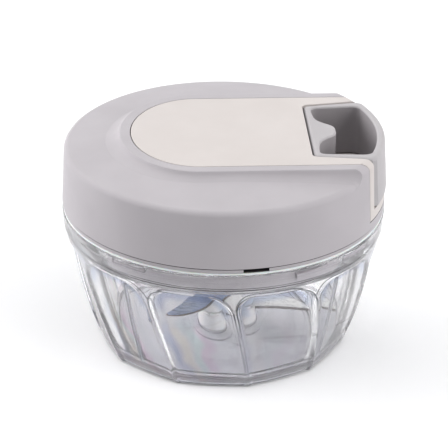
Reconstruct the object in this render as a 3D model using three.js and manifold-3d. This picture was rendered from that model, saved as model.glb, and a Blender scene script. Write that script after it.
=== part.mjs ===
// Pull-cord food chopper: a clear bowl, a set of three blades on a pin, and a lid that holds a
// sprung cord reel. Millimetres, +Z up, origin under the middle of the bowl. The grip is pulled
// out of the lid along +X, and the reel turns the blades through a three-jaw coupling.
import * as THREE from 'three';
import { mergeVertices } from 'three/addons/utils/BufferGeometryUtils.js';
import Module from 'manifold-3d';

const wasm = await Module();
wasm.setup();

// Gaps, and the overlap of pieces of one moulding
const SEAM = 0.3;
const SLACK = 0.5;
const WELD = 0.0001;
const OVERRUN = 3;

// Bowl
const BOWL_HEIGHT = 55.3;
const BOWL_RIM_RADIUS = 62.5;
const RIM_BAND_HEIGHT = 7.2;
const RIM_BAND_TAPER = 0.4;
const RIM_BAND_STEP = 0.3;
const RIM_CHAMFER = 0.4;
const FOOT_INSET = 14;
const FOOT_RING_WIDTH = 6;
const FOOT_RECESS = 0.8;
const CENTRE_PAD_RADIUS = 12;
const FLOOR_THICKNESS = 3.2;
const FLOOR_FILLET = 4;
const WALL_THICKNESS = 1.7;
const LIP_TOP_WALL = 1.9;
const LIP_BOTTOM_WALL = 2.9;
const LIP_DEPTH = 9.1;
const PANEL_COUNT = 11;
const PANEL_TOP_DROP = 2.3;
const PANEL_ARCH_HEIGHT = 10;
const PANEL_DEPTH = 0.7;
const PANEL_EDGE_WIDTH = 1.4;
const RIDGE_WIDTH = 1.8;
const FIRST_RIDGE_DEG = -81;
const PANEL_SWIRL_DEG = 9.5;
const RIB_COUNT = 4;
const RIB_DEPTH = 1.6;
const RIB_WIDTH = 1.4;
const RIB_TOP_DROP = 7.1;
const FIRST_RIB_DEG = -43.7;
const PIN_BOSS_WALL = 2.6;
const PIN_BOSS_HEIGHT = 3.3;
const PIN_SOCKET_FLOOR = 1.5;

// Bayonet lugs of the lid and the bowl
const LUG_COUNT = 4;
const LUG_WIDTH_DEG = 14;
const LUG_MIDDLE_DEG = -59;
const LUG_TURN_DEG = 20;
const LUG_HEIGHT = 1.8;
const LUG_REACH = 1.3;
const LUG_DROP = 4;

// Pin, blades and hub
const PIN_RADIUS = 2.2;
const PIN_TOP_DROP = 1.5;
const BUSH_WALL = 0.8;
const CORE_WALL = 1.7;
const BLADE_ROOT_WIDTH = 2;
const HUB_FOOT_GAP = 1.4;
const HUB_FOOT_FLARE = 0.8;
const HUB_CORE_ABOVE_BLADE = 3.3;
const HUB_FOOT_CAVITY_DEPTH = 3.4;
const BLADE_COUNT = 3;
const BLADE_ABOVE_FLOOR = 7.3;
const BLADE_FIRST_DEG = 4;
const BLADE_THICKNESS = 1.1;
const BLADE_EDGE_THICKNESS = 0.2;
const BLADE_TIP_CLEARANCE = 3.8;
const MIDDLE_BLADE_SHORTER = 4.3;
const BLADE_WIDTH = 13;
const BLADE_TIP_WIDTH = 1.2;
const BLADE_SWEEP = 8;
const BLADE_BEVEL = 3.4;
const CAP_FLARE = 1;
const CAP_HEIGHT = 11.6;
const JAW_HEIGHT = 6.7;
const JAW_WALL = 3.1;
const JAW_WIDTH_DEG = 45;
const FIN_WIDTH_DEG = 25;
const FIN_OUTER_INSET = 0.8;
const DOG_DISC_THICKNESS = 1.6;

// Lid base
const SEAL_THICKNESS = 0.8;
const SEAL_WIDTH = 2.2;
const FLANGE_INSET = 0.3;
const FLANGE_THICKNESS = 1.4;
const PLATE_THICKNESS = 1.8;
const SKIRT_GAP = 1;
const SKIRT_WALL = 1.8;
const SKIRT_DEPTH = 9.2;
const NOTCH_FROM_DEG = -86.5;
const NOTCH_TO_DEG = -77.6;
const NOTCH_DEPTH = 3.2;
const BOSS_WALL = 4.5;
const BOSS_DEPTH = 2.6;
const SHAFT_RADIUS = 3.6;
const SHAFT_SEAL_WALL = 3.3;
const SHAFT_SEAL_HEIGHT = 2;

// Lid cover
const COVER_WALL = 2;
const COVER_WALL_HEIGHT = 20.5;
const COVER_DRAFT = 0.9;
const SHOULDER_RADIUS = 2.2;
const CROWN_RISE = 1.9;
const PLATFORM_RISE = 6.9;
const PLATFORM_BORDER = 4.5;
const PLATFORM_RIM_FILLET = 3.5;
const FLANK_WIDTH = 4.6;
const FLANK_LEFT_EXTRA = 3;
const PLATFORM_WALL = 2;
const POST_RADIUS = 4;
const POST_INSET = 17.5;
const POST_FROM_X_DEG = 60;
const AXLE_BOSS_WALL = 3.1;
const AXLE_BOSS_HEIGHT = 2.6;

// Screws
const SCREW_RADIUS = 1.3;
const SCREW_LENGTH = 12;
const SCREW_HEAD_RADIUS = 2.8;
const SCREW_HEAD_HEIGHT = 1.8;
const SCREW_SOCKET_RADIUS = 1.1;
const SCREW_SOCKET_DEPTH = 1;

// Top panel and the dock of the grip
const PANEL_THICKNESS = 2;
const DOCK_WALL = 1.8;
const DOCK_SILL = 3.2;
const DOCK_LEDGE_HEIGHT = 3.6;
const DOCK_SHOULDER = 7.95;
const DOCK_MOUTH_WALL = 2.95;
const DOCK_SIDE_GAP = 0.4;

// Grip
const GRIP_FLARE = 2.7;
const GRIP_PROUD_BOTTOM = 0.7;
const GRIP_PROUD_TOP = 0.3;
const GRIP_BOTTOM_FILLET = 1;
const GRIP_TOP_FILLET = 1.6;
const GRIP_CORNER = 1.6;
const GRIP_INNER_WALL = 2.6;
const GRIP_SIDE_WALL = 1.9;
const GRIP_SIDE_WALL_GROWTH = 1.6;
const GRIP_OUTER_WALL = 3;
const HOLE_CORNER = 3.5;
const BELL_REACH = 8;
const BELL_HALF_WIDTH = 7;

// Reel, spring and cord
const CORD_RADIUS = 0.8;
const CORD_PITCH = 1.75;
const CORD_EXIT_HEIGHT = 8.3;
const REEL_FLANGE_THICKNESS = 1;
const ARBOR_WALL = 4.1;
const SPRING_CUP_WALL = 1.5;
const SPRING_CUP_FLOOR = 1.4;
const SPRING_CUP_HEIGHT = 7;
const SPRING_THICKNESS = 0.6;
const SPRING_TURNS = 7;
const SPRING_PLATE_THICKNESS = 1.2;
const EYELET_BORE = 1.3;
const EYELET_WALL = 1.2;
const EYELET_FLANGE_EXTRA = 1.2;
const EYELET_FLANGE_THICKNESS = 1;
const STOP_RADIUS = 1.9;
const STOP_LENGTH = 2.4;

// Counts of facets
const ROUND_STEPS = 72;
const MIDDLE_STEPS = 48;
const SMALL_STEPS = 24;
const FILLET_STEPS = 4;
const CORD_SIDES = 6;

// Shares chosen by hand: the lid's plan in shares of its radius, and the reel in shares of its room
const PANEL_WIDTH_SHARE = 0.5048;
const PANEL_LEFT_SHARE = 0.5736;
const PANEL_END_SHARE = 0.8272;
const DOCK_START_SHARE = 0.512;
const DOCK_FLARE_SHARE = 0.8;
const DOCK_MOUTH_SHARE = 0.912;
const CROWN_FLAT_SHARE = 0.608;
const SPRING_CUP_SHARE = 0.8775;
const REEL_FLANGE_SHARE = 0.6623;
const DRUM_SHARE = 0.4636;
const BODY_BULGE_SHARE = 0.3;
const BODY_BULGE_POWER = 3;
const ARCH_POWER_SHARE = 2.6;
const LEVEL_SHARES = [0.03, 0.15, 0.4, 0.65, 0.77, 0.85, 0.9, 0.93, 0.96];
const SIDE_SHARES = [-1, -0.9, -0.84, -0.78, -0.4, 0, 0.4, 0.78, 0.84, 0.9];
const FLANK_SHARES = [0, 0.04, 0.14, 0.3, 0.5, 0.75, 1];
const NECK_HEIGHT_SHARE = 0.9;

const TURN = Math.PI * 2;
const rad = THREE.MathUtils.degToRad;
const rad2deg = THREE.MathUtils.radToDeg;

// Heights that follow, from the bowl's rim up
const bandBottom = BOWL_HEIGHT - RIM_BAND_HEIGHT;
const lipBottom = BOWL_HEIGHT - LIP_DEPTH;
const panelTop = bandBottom - PANEL_TOP_DROP;
const ribTop = bandBottom - RIB_TOP_DROP;
const sealBottom = BOWL_HEIGHT + SEAM / 2;
const flangeBottom = sealBottom + SEAL_THICKNESS + SEAM / 2;
const flangeTop = flangeBottom + FLANGE_THICKNESS;
const plateBottom = flangeTop - PLATE_THICKNESS;
const skirtBottom = plateBottom - SKIRT_DEPTH;
const bossBottom = plateBottom - BOSS_DEPTH;
const coverEdgeZ = flangeTop + SEAM;
const coverWallTop = coverEdgeZ + COVER_WALL_HEIGHT;
const crownEdgeZ = coverWallTop + SHOULDER_RADIUS;
const crownTopZ = crownEdgeZ + CROWN_RISE;
const platformTop = coverWallTop + PLATFORM_RISE;
const panelBottom = platformTop - PANEL_THICKNESS;
const recessFloor = panelBottom - SEAM;
const roofUnder = recessFloor - PLATFORM_WALL;
const axleBossBottom = roofUnder - AXLE_BOSS_HEIGHT;
const ledgeBottom = coverEdgeZ + DOCK_SILL;
const dockFloorZ = ledgeBottom + DOCK_LEDGE_HEIGHT;
const gripBottom = dockFloorZ + SEAM;
const cordExitZ = dockFloorZ + CORD_EXIT_HEIGHT;

// Heights that follow, from the lid's boss down to the blades
const dogDiscTop = bossBottom - SLACK;
const dogDiscBottom = dogDiscTop - DOG_DISC_THICKNESS;
const jawTop = dogDiscBottom - SLACK;
const capFloorZ = jawTop - JAW_HEIGHT;
const topBladeTop = capFloorZ - CAP_HEIGHT;
const topBladeBottom = topBladeTop - BLADE_THICKNESS;
const bladeFirstZ = FLOOR_THICKNESS + BLADE_ABOVE_FLOOR;
const bladePitch = (topBladeBottom - bladeFirstZ) / (BLADE_COUNT - 1);
const bladeBottoms = Array.from({ length: BLADE_COUNT }, (_, i) => bladeFirstZ + i * bladePitch);
const hubFootZ = FLOOR_THICKNESS + HUB_FOOT_GAP;
const coreTop = topBladeTop + HUB_CORE_ABOVE_BLADE;
const pinTop = topBladeBottom - PIN_TOP_DROP;
const shaftBottom = capFloorZ + SLACK * 2 + SEAM;
const shaftTop = roofUnder - SEAM;

// Heights that follow in the drive, from the lid base up
const cupBottom = flangeTop + SEAM;
const cupTop = cupBottom + SPRING_CUP_HEIGHT;
const springBottom = cupBottom + SPRING_CUP_FLOOR + SEAM;
const springTop = cupTop - SEAM;
const springPlateBottom = cupTop + SEAM;
const reelBottom = springPlateBottom + SPRING_PLATE_THICKNESS + SLACK;
const drumBottom = reelBottom + REEL_FLANGE_THICKNESS;
const reelTop = axleBossBottom - SEAM;
const drumTop = reelTop - REEL_FLANGE_THICKNESS;
const windingTop = drumTop - CORD_RADIUS - SEAM;
const cordTurns = (windingTop - drumBottom - CORD_RADIUS - SEAM) / CORD_PITCH;

// Distances from the axis that follow
const coverRadius = BOWL_RIM_RADIUS;
const flangeRadius = BOWL_RIM_RADIUS - FLANGE_INSET;
const footRadius = BOWL_RIM_RADIUS - FOOT_INSET;
const bandBottomRadius = BOWL_RIM_RADIUS - RIM_BAND_TAPER;
const bodyTopRadius = bandBottomRadius - RIM_BAND_STEP;
const panelHalfAngle = Math.PI / PANEL_COUNT - RIDGE_WIDTH / 2 / footRadius;
const bushBore = PIN_RADIUS + SEAM;
const bushOuterRadius = bushBore + BUSH_WALL;
const coreBoreRadius = bushOuterRadius + SEAM;
const hubCoreRadius = coreBoreRadius + CORE_WALL;
const rootBoreRadius = hubCoreRadius + SEAM;
const hubNeckRadius = rootBoreRadius + BLADE_ROOT_WIDTH;
const hubFootRadius = hubNeckRadius + HUB_FOOT_FLARE;
const capRadius = hubNeckRadius + CAP_FLARE;
const jawInnerRadius = capRadius - JAW_WALL;
const dogHubRadius = jawInnerRadius - SLACK;
const pinBossRadius = bushBore + PIN_BOSS_WALL;
const shaftBore = SHAFT_RADIUS + SEAM;
const shaftSealBore = shaftBore + SHAFT_SEAL_WALL + SEAM;
const bossRadius = shaftSealBore + BOSS_WALL;
const postCircleRadius = coverRadius - POST_INSET;
const crownFlatRadius = coverRadius * CROWN_FLAT_SHARE;
const arborRadius = shaftBore + ARBOR_WALL;

// Plan of the panel, the dock and the grip that follows
const panelHalfWidth = coverRadius * PANEL_WIDTH_SHARE;
const panelEndLength = panelHalfWidth * PANEL_END_SHARE;
const panelEndX = panelEndLength - coverRadius * PANEL_LEFT_SHARE;
const dockX = coverRadius * DOCK_START_SHARE;
const dockFlareX = coverRadius * DOCK_FLARE_SHARE;
const dockMouthX = coverRadius * DOCK_MOUTH_SHARE;
const dockMouthHalfWidth = panelHalfWidth - DOCK_MOUTH_WALL;
const gripHalfWidth = panelHalfWidth - DOCK_SHOULDER;
const gripX = dockX + DOCK_SIDE_GAP;
const eyeletInner = dockX - DOCK_WALL;
const stopX = gripX + GRIP_INNER_WALL + BELL_REACH / 2;
const springCupRadius = eyeletInner * SPRING_CUP_SHARE;
const reelFlangeRadius = eyeletInner * REEL_FLANGE_SHARE;
const drumRadius = eyeletInner * DRUM_SHARE;
const cordCircle = drumRadius + SEAM + CORD_RADIUS;

// Colours and finishes
const finishes = {
  greyPlastic: { color: 0xc6c0c4, roughness: 0.5, metalness: 0 },
  palePlastic: { color: 0xe6dedb, roughness: 0.4, metalness: 0 },
  clearPlastic: { color: 0xe4e6ef, roughness: 0.08, metalness: 0, transparent: true, opacity: 0.35 },
  whitePlastic: { color: 0xf0efed, roughness: 0.4, metalness: 0 },
  steel: { color: 0xb9bcc2, roughness: 0.25, metalness: 1 },
  silicone: { color: 0xf2f2f0, roughness: 0.6, metalness: 0 },
  innerPlastic: { color: 0xd8d8d6, roughness: 0.5, metalness: 0 },
  cordFibre: { color: 0xe8e6e0, roughness: 0.9, metalness: 0 },
};

/** Volume with its sign, which tells which way the faces look. */
function signedVolume(points, faces) {
  const [a, b, c] = [new THREE.Vector3(), new THREE.Vector3(), new THREE.Vector3()];
  let sum = 0;
  for (let i = 0; i < faces.length; i += 3) {
    a.fromArray(points, faces[i] * 3);
    b.fromArray(points, faces[i + 1] * 3);
    c.fromArray(points, faces[i + 2] * 3);
    sum += a.dot(b.cross(c));
  }
  return sum;
}

/** Solid of a closed geometry, with its faces turned outwards. */
function solid(geometry) {
  const bare = geometry.clone();
  bare.deleteAttribute('normal');
  bare.deleteAttribute('uv');
  const merged = mergeVertices(bare, WELD);
  const points = new Float32Array(merged.attributes.position.array);
  const all = merged.index.array;
  const faces = [];
  for (let i = 0; i < all.length; i += 3) {
    const [p, q, r] = [all[i], all[i + 1], all[i + 2]];
    if (p !== q && q !== r && r !== p) faces.push(p, q, r);
  }
  if (signedVolume(points, faces) < 0) {
    for (let i = 0; i < faces.length; i += 3) [faces[i], faces[i + 1]] = [faces[i + 1], faces[i]];
  }
  const mesh = new wasm.Mesh({ numProp: 3, vertProperties: points, triVerts: new Uint32Array(faces) });
  return new wasm.Manifold(mesh);
}

/** Turned solid from [radius, height] points that end on the axis or close on themselves. */
function turned(profile, steps = ROUND_STEPS) {
  const points = profile.map(([r, z]) => new THREE.Vector2(r, z));
  return solid(new THREE.LatheGeometry(points, steps).rotateX(Math.PI / 2));
}

/** Turned solid with a hole: the profile's last point joins its first. */
function turnedRing(profile, steps = ROUND_STEPS) {
  return turned([...profile, profile[0]], steps);
}

/** Plain round post or bore from z0 to z1. */
function round(radius, z0, z1, steps = SMALL_STEPS) {
  return turned([[0, z0], [radius, z0], [radius, z1], [0, z1]], steps);
}

/** Plain ring from z0 to z1. */
function ring(inner, outer, z0, z1, steps = ROUND_STEPS) {
  return turnedRing([[inner, z0], [outer, z0], [outer, z1], [inner, z1]], steps);
}

/** Upright prism of a shape in plan. */
function prism(shape, z0, z1, steps = SMALL_STEPS) {
  const settings = { depth: z1 - z0, bevelEnabled: false, curveSegments: steps, steps: 1 };
  return solid(new THREE.ExtrudeGeometry(shape, settings).translate(0, 0, z0));
}

/** Block from x0 to x1, as wide on both sides of the middle plane. */
function slab(x0, x1, half, z0, z1) {
  const corners = [[x0, -half], [x1, -half], [x1, half], [x0, half]];
  return prism(new THREE.Shape(corners.map(([x, y]) => new THREE.Vector2(x, y))), z0, z1);
}

/** Part of a ring between two angles, in degrees. */
function sector(inner, outer, z0, z1, fromDeg, toDeg) {
  const shape = new THREE.Shape();
  shape.absarc(0, 0, outer, rad(fromDeg), rad(toDeg), false);
  shape.absarc(0, 0, inner, rad(toDeg), rad(fromDeg), true);
  shape.closePath();
  return prism(shape, z0, z1, FILLET_STEPS);
}

/** Solid between a stack of rings of equal point counts, closed by flat fans. */
function loft(rings) {
  const count = rings[0].length;
  const points = rings.flat();
  const middle = (list) => {
    const sum = new THREE.Vector3();
    for (const point of list) sum.add(point);
    return sum.divideScalar(list.length);
  };
  const bottom = points.push(middle(rings[0])) - 1;
  const top = points.push(middle(rings[rings.length - 1])) - 1;
  const faces = [];
  for (let k = 0; k < rings.length - 1; k += 1) {
    for (let i = 0; i < count; i += 1) {
      const j = (i + 1) % count;
      const [a, b, c, d] = [k * count + i, k * count + j, (k + 1) * count + j, (k + 1) * count + i];
      faces.push(a, b, c, a, c, d);
    }
  }
  const last = (rings.length - 1) * count;
  for (let i = 0; i < count; i += 1) {
    const j = (i + 1) % count;
    faces.push(bottom, j, i, top, last + i, last + j);
  }
  const geometry = new THREE.BufferGeometry().setFromPoints(points);
  geometry.setIndex(faces);
  return solid(geometry);
}

/** Tube along a curve. */
function tube(curve, radius, steps, sides) {
  const shape = new THREE.Shape();
  for (let i = 0; i < sides; i += 1) {
    const angle = (i / sides) * TURN;
    if (i === 0) shape.moveTo(radius * Math.cos(angle), radius * Math.sin(angle));
    else shape.lineTo(radius * Math.cos(angle), radius * Math.sin(angle));
  }
  return solid(new THREE.ExtrudeGeometry(shape, { steps, extrudePath: curve, bevelEnabled: false }));
}

/** Mesh of one piece, with a material of its own. */
function piece(name, body, finish) {
  const { vertProperties, triVerts } = body.getMesh();
  const geometry = new THREE.BufferGeometry();
  geometry.setAttribute('position', new THREE.BufferAttribute(new Float32Array(vertProperties), 3));
  geometry.setIndex(new THREE.BufferAttribute(new Uint32Array(triVerts), 1));
  geometry.computeVertexNormals();
  const mesh = new THREE.Mesh(geometry, new THREE.MeshStandardMaterial(finishes[finish]));
  mesh.name = name;
  return mesh;
}

const turnZ = (body, deg) => body.rotate([0, 0, deg]);

/** Copies of a body round the axis. */
function around(body, count) {
  return Array.from({ length: count }, (_, i) => turnZ(body, rad2deg(TURN / count) * i));
}

const joined = (first, others) => others.reduce((sum, body) => sum.add(body), first);
const without = (first, others) => others.reduce((rest, body) => rest.subtract(body), first);

// Bowl

/** Outer radius of the bowl's body before its side panels. */
function bodyRadius(z) {
  const share = Math.min(z / bandBottom, 1);
  const line = (1 - BODY_BULGE_SHARE) * share;
  const bulge = BODY_BULGE_SHARE * (1 - (1 - share) ** BODY_BULGE_POWER);
  return footRadius + (bodyTopRadius - footRadius) * (line + bulge);
}

/** Half-width of a side panel as an angle, drawn in by its arch near the top. */
function panelHalf(z) {
  const rise = (z - (panelTop - PANEL_ARCH_HEIGHT)) / PANEL_ARCH_HEIGHT;
  if (rise <= 0) return panelHalfAngle;
  return rise < 1 ? panelHalfAngle * Math.sqrt(1 - rise ** ARCH_POWER_SHARE) : 0;
}

/** Distance from the axis at an angle from the panel's middle. */
function sideRadius(angle, z) {
  const full = bodyRadius(z);
  const edge = ((panelHalf(z) - Math.abs(angle)) * full) / PANEL_EDGE_WIDTH;
  const blend = THREE.MathUtils.smoothstep(edge, 0, 1);
  const flat = ((full - PANEL_DEPTH) * Math.cos(panelHalfAngle)) / Math.cos(angle);
  return THREE.MathUtils.lerp(full, Math.min(flat, full), blend);
}

/** Ring of the bowl's outside at a height; the panels lean round with height. */
function bowlRing(z, radiusAt) {
  const points = [];
  const lean = rad(FIRST_RIDGE_DEG) - rad(PANEL_SWIRL_DEG) * Math.min(z / panelTop, 1);
  for (let k = 0; k < PANEL_COUNT; k += 1) {
    for (const share of SIDE_SHARES) {
      const angle = (share * Math.PI) / PANEL_COUNT;
      const bearing = lean + ((k + 1 / 2) * TURN) / PANEL_COUNT + angle;
      const r = radiusAt(angle);
      points.push(new THREE.Vector3(r * Math.cos(bearing), r * Math.sin(bearing), z));
    }
  }
  return points;
}

/** Inner radius of the bowl's body, which is round inside. */
function innerRadius(z) {
  return (bodyRadius(z) - PANEL_DEPTH) * Math.cos(panelHalfAngle) - WALL_THICKNESS;
}

const lipTopRadius = BOWL_RIM_RADIUS - LIP_TOP_WALL;
const lipBottomRadius = bodyRadius(lipBottom) - LIP_BOTTOM_WALL;
const lipTaper = (lipTopRadius - lipBottomRadius) / LIP_DEPTH;
const lipRadius = (z) => lipBottomRadius + lipTaper * (z - lipBottom);
const lugBottom = BOWL_HEIGHT - LUG_DROP + SLACK;
const skirtRadius = lipBottomRadius - SKIRT_GAP;
const bowlLugInner = skirtRadius + SLACK;

function makeBowl() {
  const levels = [0, ...LEVEL_SHARES].map((share) => share * bandBottom);
  const rings = levels.map((z) => bowlRing(z, (angle) => sideRadius(angle, z)));
  rings.push(bowlRing(bandBottom, () => bodyTopRadius));
  rings.push(bowlRing(bandBottom, () => bandBottomRadius));
  rings.push(bowlRing(BOWL_HEIGHT - RIM_CHAMFER, () => BOWL_RIM_RADIUS));
  rings.push(bowlRing(BOWL_HEIGHT, () => BOWL_RIM_RADIUS - RIM_CHAMFER));
  const hollow = [[0, FLOOR_THICKNESS]];
  for (let i = 0; i <= FILLET_STEPS; i += 1) {
    const angle = (i / FILLET_STEPS) * (Math.PI / 2);
    const z = FLOOR_THICKNESS + FLOOR_FILLET * (1 - Math.cos(angle));
    hollow.push([innerRadius(z) - FLOOR_FILLET * (1 - Math.sin(angle)), z]);
  }
  for (const z of levels) {
    if (z > FLOOR_THICKNESS + FLOOR_FILLET && z < lipBottom) hollow.push([innerRadius(z), z]);
  }
  const above = BOWL_HEIGHT + OVERRUN;
  hollow.push([innerRadius(lipBottom), lipBottom], [lipBottomRadius, lipBottom]);
  hollow.push([lipTopRadius, BOWL_HEIGHT], [lipTopRadius, above], [0, above]);
  const footInner = footRadius - FOOT_RING_WIDTH;
  const recess = ring(CENTRE_PAD_RADIUS, footInner, -OVERRUN, FOOT_RECESS);
  let bowl = loft(rings).subtract(turned(hollow)).subtract(recess);
  const boss = round(pinBossRadius, FLOOR_THICKNESS - WALL_THICKNESS, FLOOR_THICKNESS + PIN_BOSS_HEIGHT);
  const socket = round(PIN_RADIUS + SEAM, PIN_SOCKET_FLOOR, FLOOR_THICKNESS + PIN_BOSS_HEIGHT + OVERRUN);
  bowl = bowl.add(boss).subtract(socket);
  const rib = loft([FLOOR_THICKNESS - WALL_THICKNESS / 2, ribTop / 2, ribTop].map((z) => {
    const outer = innerRadius(z) + WALL_THICKNESS / 2;
    const inner = innerRadius(z) - RIB_DEPTH;
    const half = RIB_WIDTH / 2;
    const plan = [[inner, -half], [outer, -half], [outer, half], [inner, half]];
    return plan.map(([x, y]) => new THREE.Vector3(x, y, z));
  }));
  bowl = joined(bowl, around(turnZ(rib, FIRST_RIB_DEG), RIB_COUNT));
  const lugTop = lugBottom + LUG_HEIGHT;
  const outer = lipRadius(lugTop) + LIP_BOTTOM_WALL / 2;
  const from = LUG_MIDDLE_DEG + LUG_TURN_DEG - LUG_WIDTH_DEG / 2;
  const lug = sector(bowlLugInner, outer, lugBottom, lugTop, from, from + LUG_WIDTH_DEG);
  return joined(bowl, around(lug, LUG_COUNT));
}

// Blades and hub

const bladeRoom = innerRadius(bladeFirstZ) - RIB_DEPTH - BLADE_TIP_CLEARANCE;
const bladeTipBack = (BLADE_WIDTH + BLADE_SWEEP) / 2;
const bladeTipX = Math.sqrt(bladeRoom ** 2 - bladeTipBack ** 2);

/** One blade along +X: a curved arm with a ground edge, and the ring that clamps it to the hub. */
function makeBlade(z, tipX) {
  const stations = Array.from({ length: SMALL_STEPS / 2 + 1 }, (_, i) => i / (SMALL_STEPS / 2));
  const rootX = hubNeckRadius - BLADE_THICKNESS;
  const arm = loft(stations.map((s) => {
    const x = rootX + (tipX - rootX) * s;
    const width = BLADE_TIP_WIDTH + (BLADE_WIDTH - BLADE_TIP_WIDTH) * Math.sqrt(1 - s * s);
    const back = -BLADE_WIDTH / 2 - BLADE_SWEEP * s * s + (BLADE_SWEEP / 2) * s;
    const bevel = Math.min(BLADE_BEVEL, width / 2);
    const mid = z + BLADE_THICKNESS / 2;
    const edge = BLADE_EDGE_THICKNESS / 2;
    return [[back, z], [back + width - bevel, z], [back + width, mid - edge], [back + width, mid + edge],
      [back + width - bevel, z + BLADE_THICKNESS], [back, z + BLADE_THICKNESS]]
      .map(([y, height]) => new THREE.Vector3(x, y, height));
  }));
  const root = round(hubNeckRadius, z, z + BLADE_THICKNESS);
  const bore = round(rootBoreRadius, z - OVERRUN, z + BLADE_THICKNESS + OVERRUN);
  return arm.add(root).subtract(bore);
}

function makeHubCore() {
  const neckZ = hubFootZ + (bladeFirstZ - SEAM - hubFootZ) * NECK_HEIGHT_SHARE;
  const cavityTop = hubFootZ + HUB_FOOT_CAVITY_DEPTH;
  const cavityRadius = pinBossRadius + SLACK * 2;
  return turnedRing([
    [cavityRadius, hubFootZ], [hubFootRadius, hubFootZ], [hubNeckRadius, neckZ],
    [hubNeckRadius, bladeFirstZ - SEAM], [hubCoreRadius, bladeFirstZ - SEAM],
    [hubCoreRadius, coreTop], [coreBoreRadius, coreTop], [coreBoreRadius, cavityTop],
    [cavityRadius, cavityTop],
  ], SMALL_STEPS);
}

function makeHubCap() {
  const bottom = topBladeTop + SEAM;
  const socketTop = coreTop + SEAM;
  const body = turned([
    [0, socketTop], [rootBoreRadius, socketTop], [rootBoreRadius, bottom], [hubNeckRadius, bottom],
    [capRadius, socketTop], [capRadius, capFloorZ], [0, capFloorZ],
  ], SMALL_STEPS);
  const root = capFloorZ - BLADE_THICKNESS;
  const half = JAW_WIDTH_DEG / 2;
  const jawMiddle = rad2deg(Math.PI / BLADE_COUNT);
  const jaw = sector(jawInnerRadius, capRadius, root, jawTop, jawMiddle - half, jawMiddle + half);
  return joined(body, around(jaw, BLADE_COUNT));
}

function makeDog() {
  const finBottom = capFloorZ + SLACK;
  const body = round(dogHubRadius, finBottom, dogDiscTop)
    .add(round(capRadius, dogDiscBottom, dogDiscTop));
  const half = FIN_WIDTH_DEG / 2;
  const finOuter = capRadius - FIN_OUTER_INSET;
  const fin = sector(dogHubRadius - SEAM, finOuter, finBottom, dogDiscTop - SEAM, -half, half);
  const socket = hexPrism(shaftBore, finBottom + SLACK, dogDiscTop + OVERRUN);
  return joined(body, around(fin, BLADE_COUNT)).subtract(socket);
}

/** Six-sided prism by its corner radius. */
function hexPrism(radius, z0, z1) {
  return round(radius, z0, z1, 6);
}

function makeShaft() {
  const journalFrom = dogDiscTop + SEAM;
  const journal = round(SHAFT_RADIUS, journalFrom, cupBottom + SPRING_CUP_FLOOR);
  return journal.add(hexPrism(SHAFT_RADIUS, shaftBottom, shaftTop));
}

// Lid base

const screwDegs = [POST_FROM_X_DEG, 180 - POST_FROM_X_DEG, 180 + POST_FROM_X_DEG, -POST_FROM_X_DEG];

/** Body moved from the axis to a screw's place. */
function atScrew(body, deg) {
  const angle = rad(deg);
  return body.translate([postCircleRadius * Math.cos(angle), postCircleRadius * Math.sin(angle), 0]);
}

function makeLidBase() {
  const sealRoof = bossBottom + SEAM + SHAFT_SEAL_HEIGHT + SEAM;
  const skirtInner = skirtRadius - SKIRT_WALL;
  const body = turnedRing([
    [shaftBore, sealRoof], [shaftSealBore, sealRoof], [shaftSealBore, bossBottom], [bossRadius, bossBottom],
    [bossRadius, plateBottom], [skirtInner, plateBottom], [skirtInner, skirtBottom],
    [skirtRadius, skirtBottom], [skirtRadius, flangeBottom], [flangeRadius, flangeBottom],
    [flangeRadius, flangeTop], [shaftBore, flangeTop],
  ]);
  const lugTop = lugBottom - SLACK;
  const lug = sector(skirtRadius - SEAM, skirtRadius + LUG_REACH, lugTop - LUG_HEIGHT, lugTop,
    LUG_MIDDLE_DEG - LUG_WIDTH_DEG / 2, LUG_MIDDLE_DEG + LUG_WIDTH_DEG / 2);
  const notch = sector(flangeRadius - NOTCH_DEPTH, flangeRadius + OVERRUN, flangeBottom - OVERRUN,
    flangeTop + OVERRUN, NOTCH_FROM_DEG, NOTCH_TO_DEG);
  const hole = round(SCREW_RADIUS + SEAM, plateBottom - OVERRUN, flangeTop + OVERRUN);
  const holes = screwDegs.map((deg) => atScrew(hole, deg));
  return without(joined(body, around(lug, LUG_COUNT)), [notch, ...holes]);
}

function makeShaftSeal() {
  const bottom = bossBottom + SEAM;
  return ring(shaftBore, shaftBore + SHAFT_SEAL_WALL, bottom, bottom + SHAFT_SEAL_HEIGHT, SMALL_STEPS);
}

// Lid cover

/** Outer radius of the lid's side wall, which draws in upwards. */
function wallRadius(z) {
  return coverRadius - (COVER_DRAFT * (z - coverEdgeZ)) / COVER_WALL_HEIGHT;
}

const shoulderRadius = wallRadius(coverWallTop) - SHOULDER_RADIUS;

/** Height of the lid's gently domed top at a distance from the axis. */
function crownHeight(r) {
  const share = THREE.MathUtils.clamp((shoulderRadius - r) / (shoulderRadius - crownFlatRadius), 0, 1);
  return crownEdgeZ + CROWN_RISE * share;
}

/** Quarter round from the side wall up to a flat or domed top. */
function quarter(r, z, radius) {
  return Array.from({ length: FILLET_STEPS + 1 }, (_, i) => {
    const angle = (i / FILLET_STEPS) * (Math.PI / 2);
    return [r - radius + radius * Math.cos(angle), z + radius * Math.sin(angle)];
  });
}

/** Plan outline of the round-ended platform, offset outwards; it runs past the lid's edge at +X. */
function stadium(offset, leftExtra, reach) {
  const points = [];
  const half = panelHalfWidth + offset;
  points.push(new THREE.Vector2(reach, -half), new THREE.Vector2(reach, half));
  for (let i = 0; i <= SMALL_STEPS; i += 1) {
    const angle = Math.PI / 2 + (i / SMALL_STEPS) * Math.PI;
    const length = panelEndLength + offset + leftExtra;
    points.push(new THREE.Vector2(panelEndX + length * Math.cos(angle), half * Math.sin(angle)));
  }
  return points;
}

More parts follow.
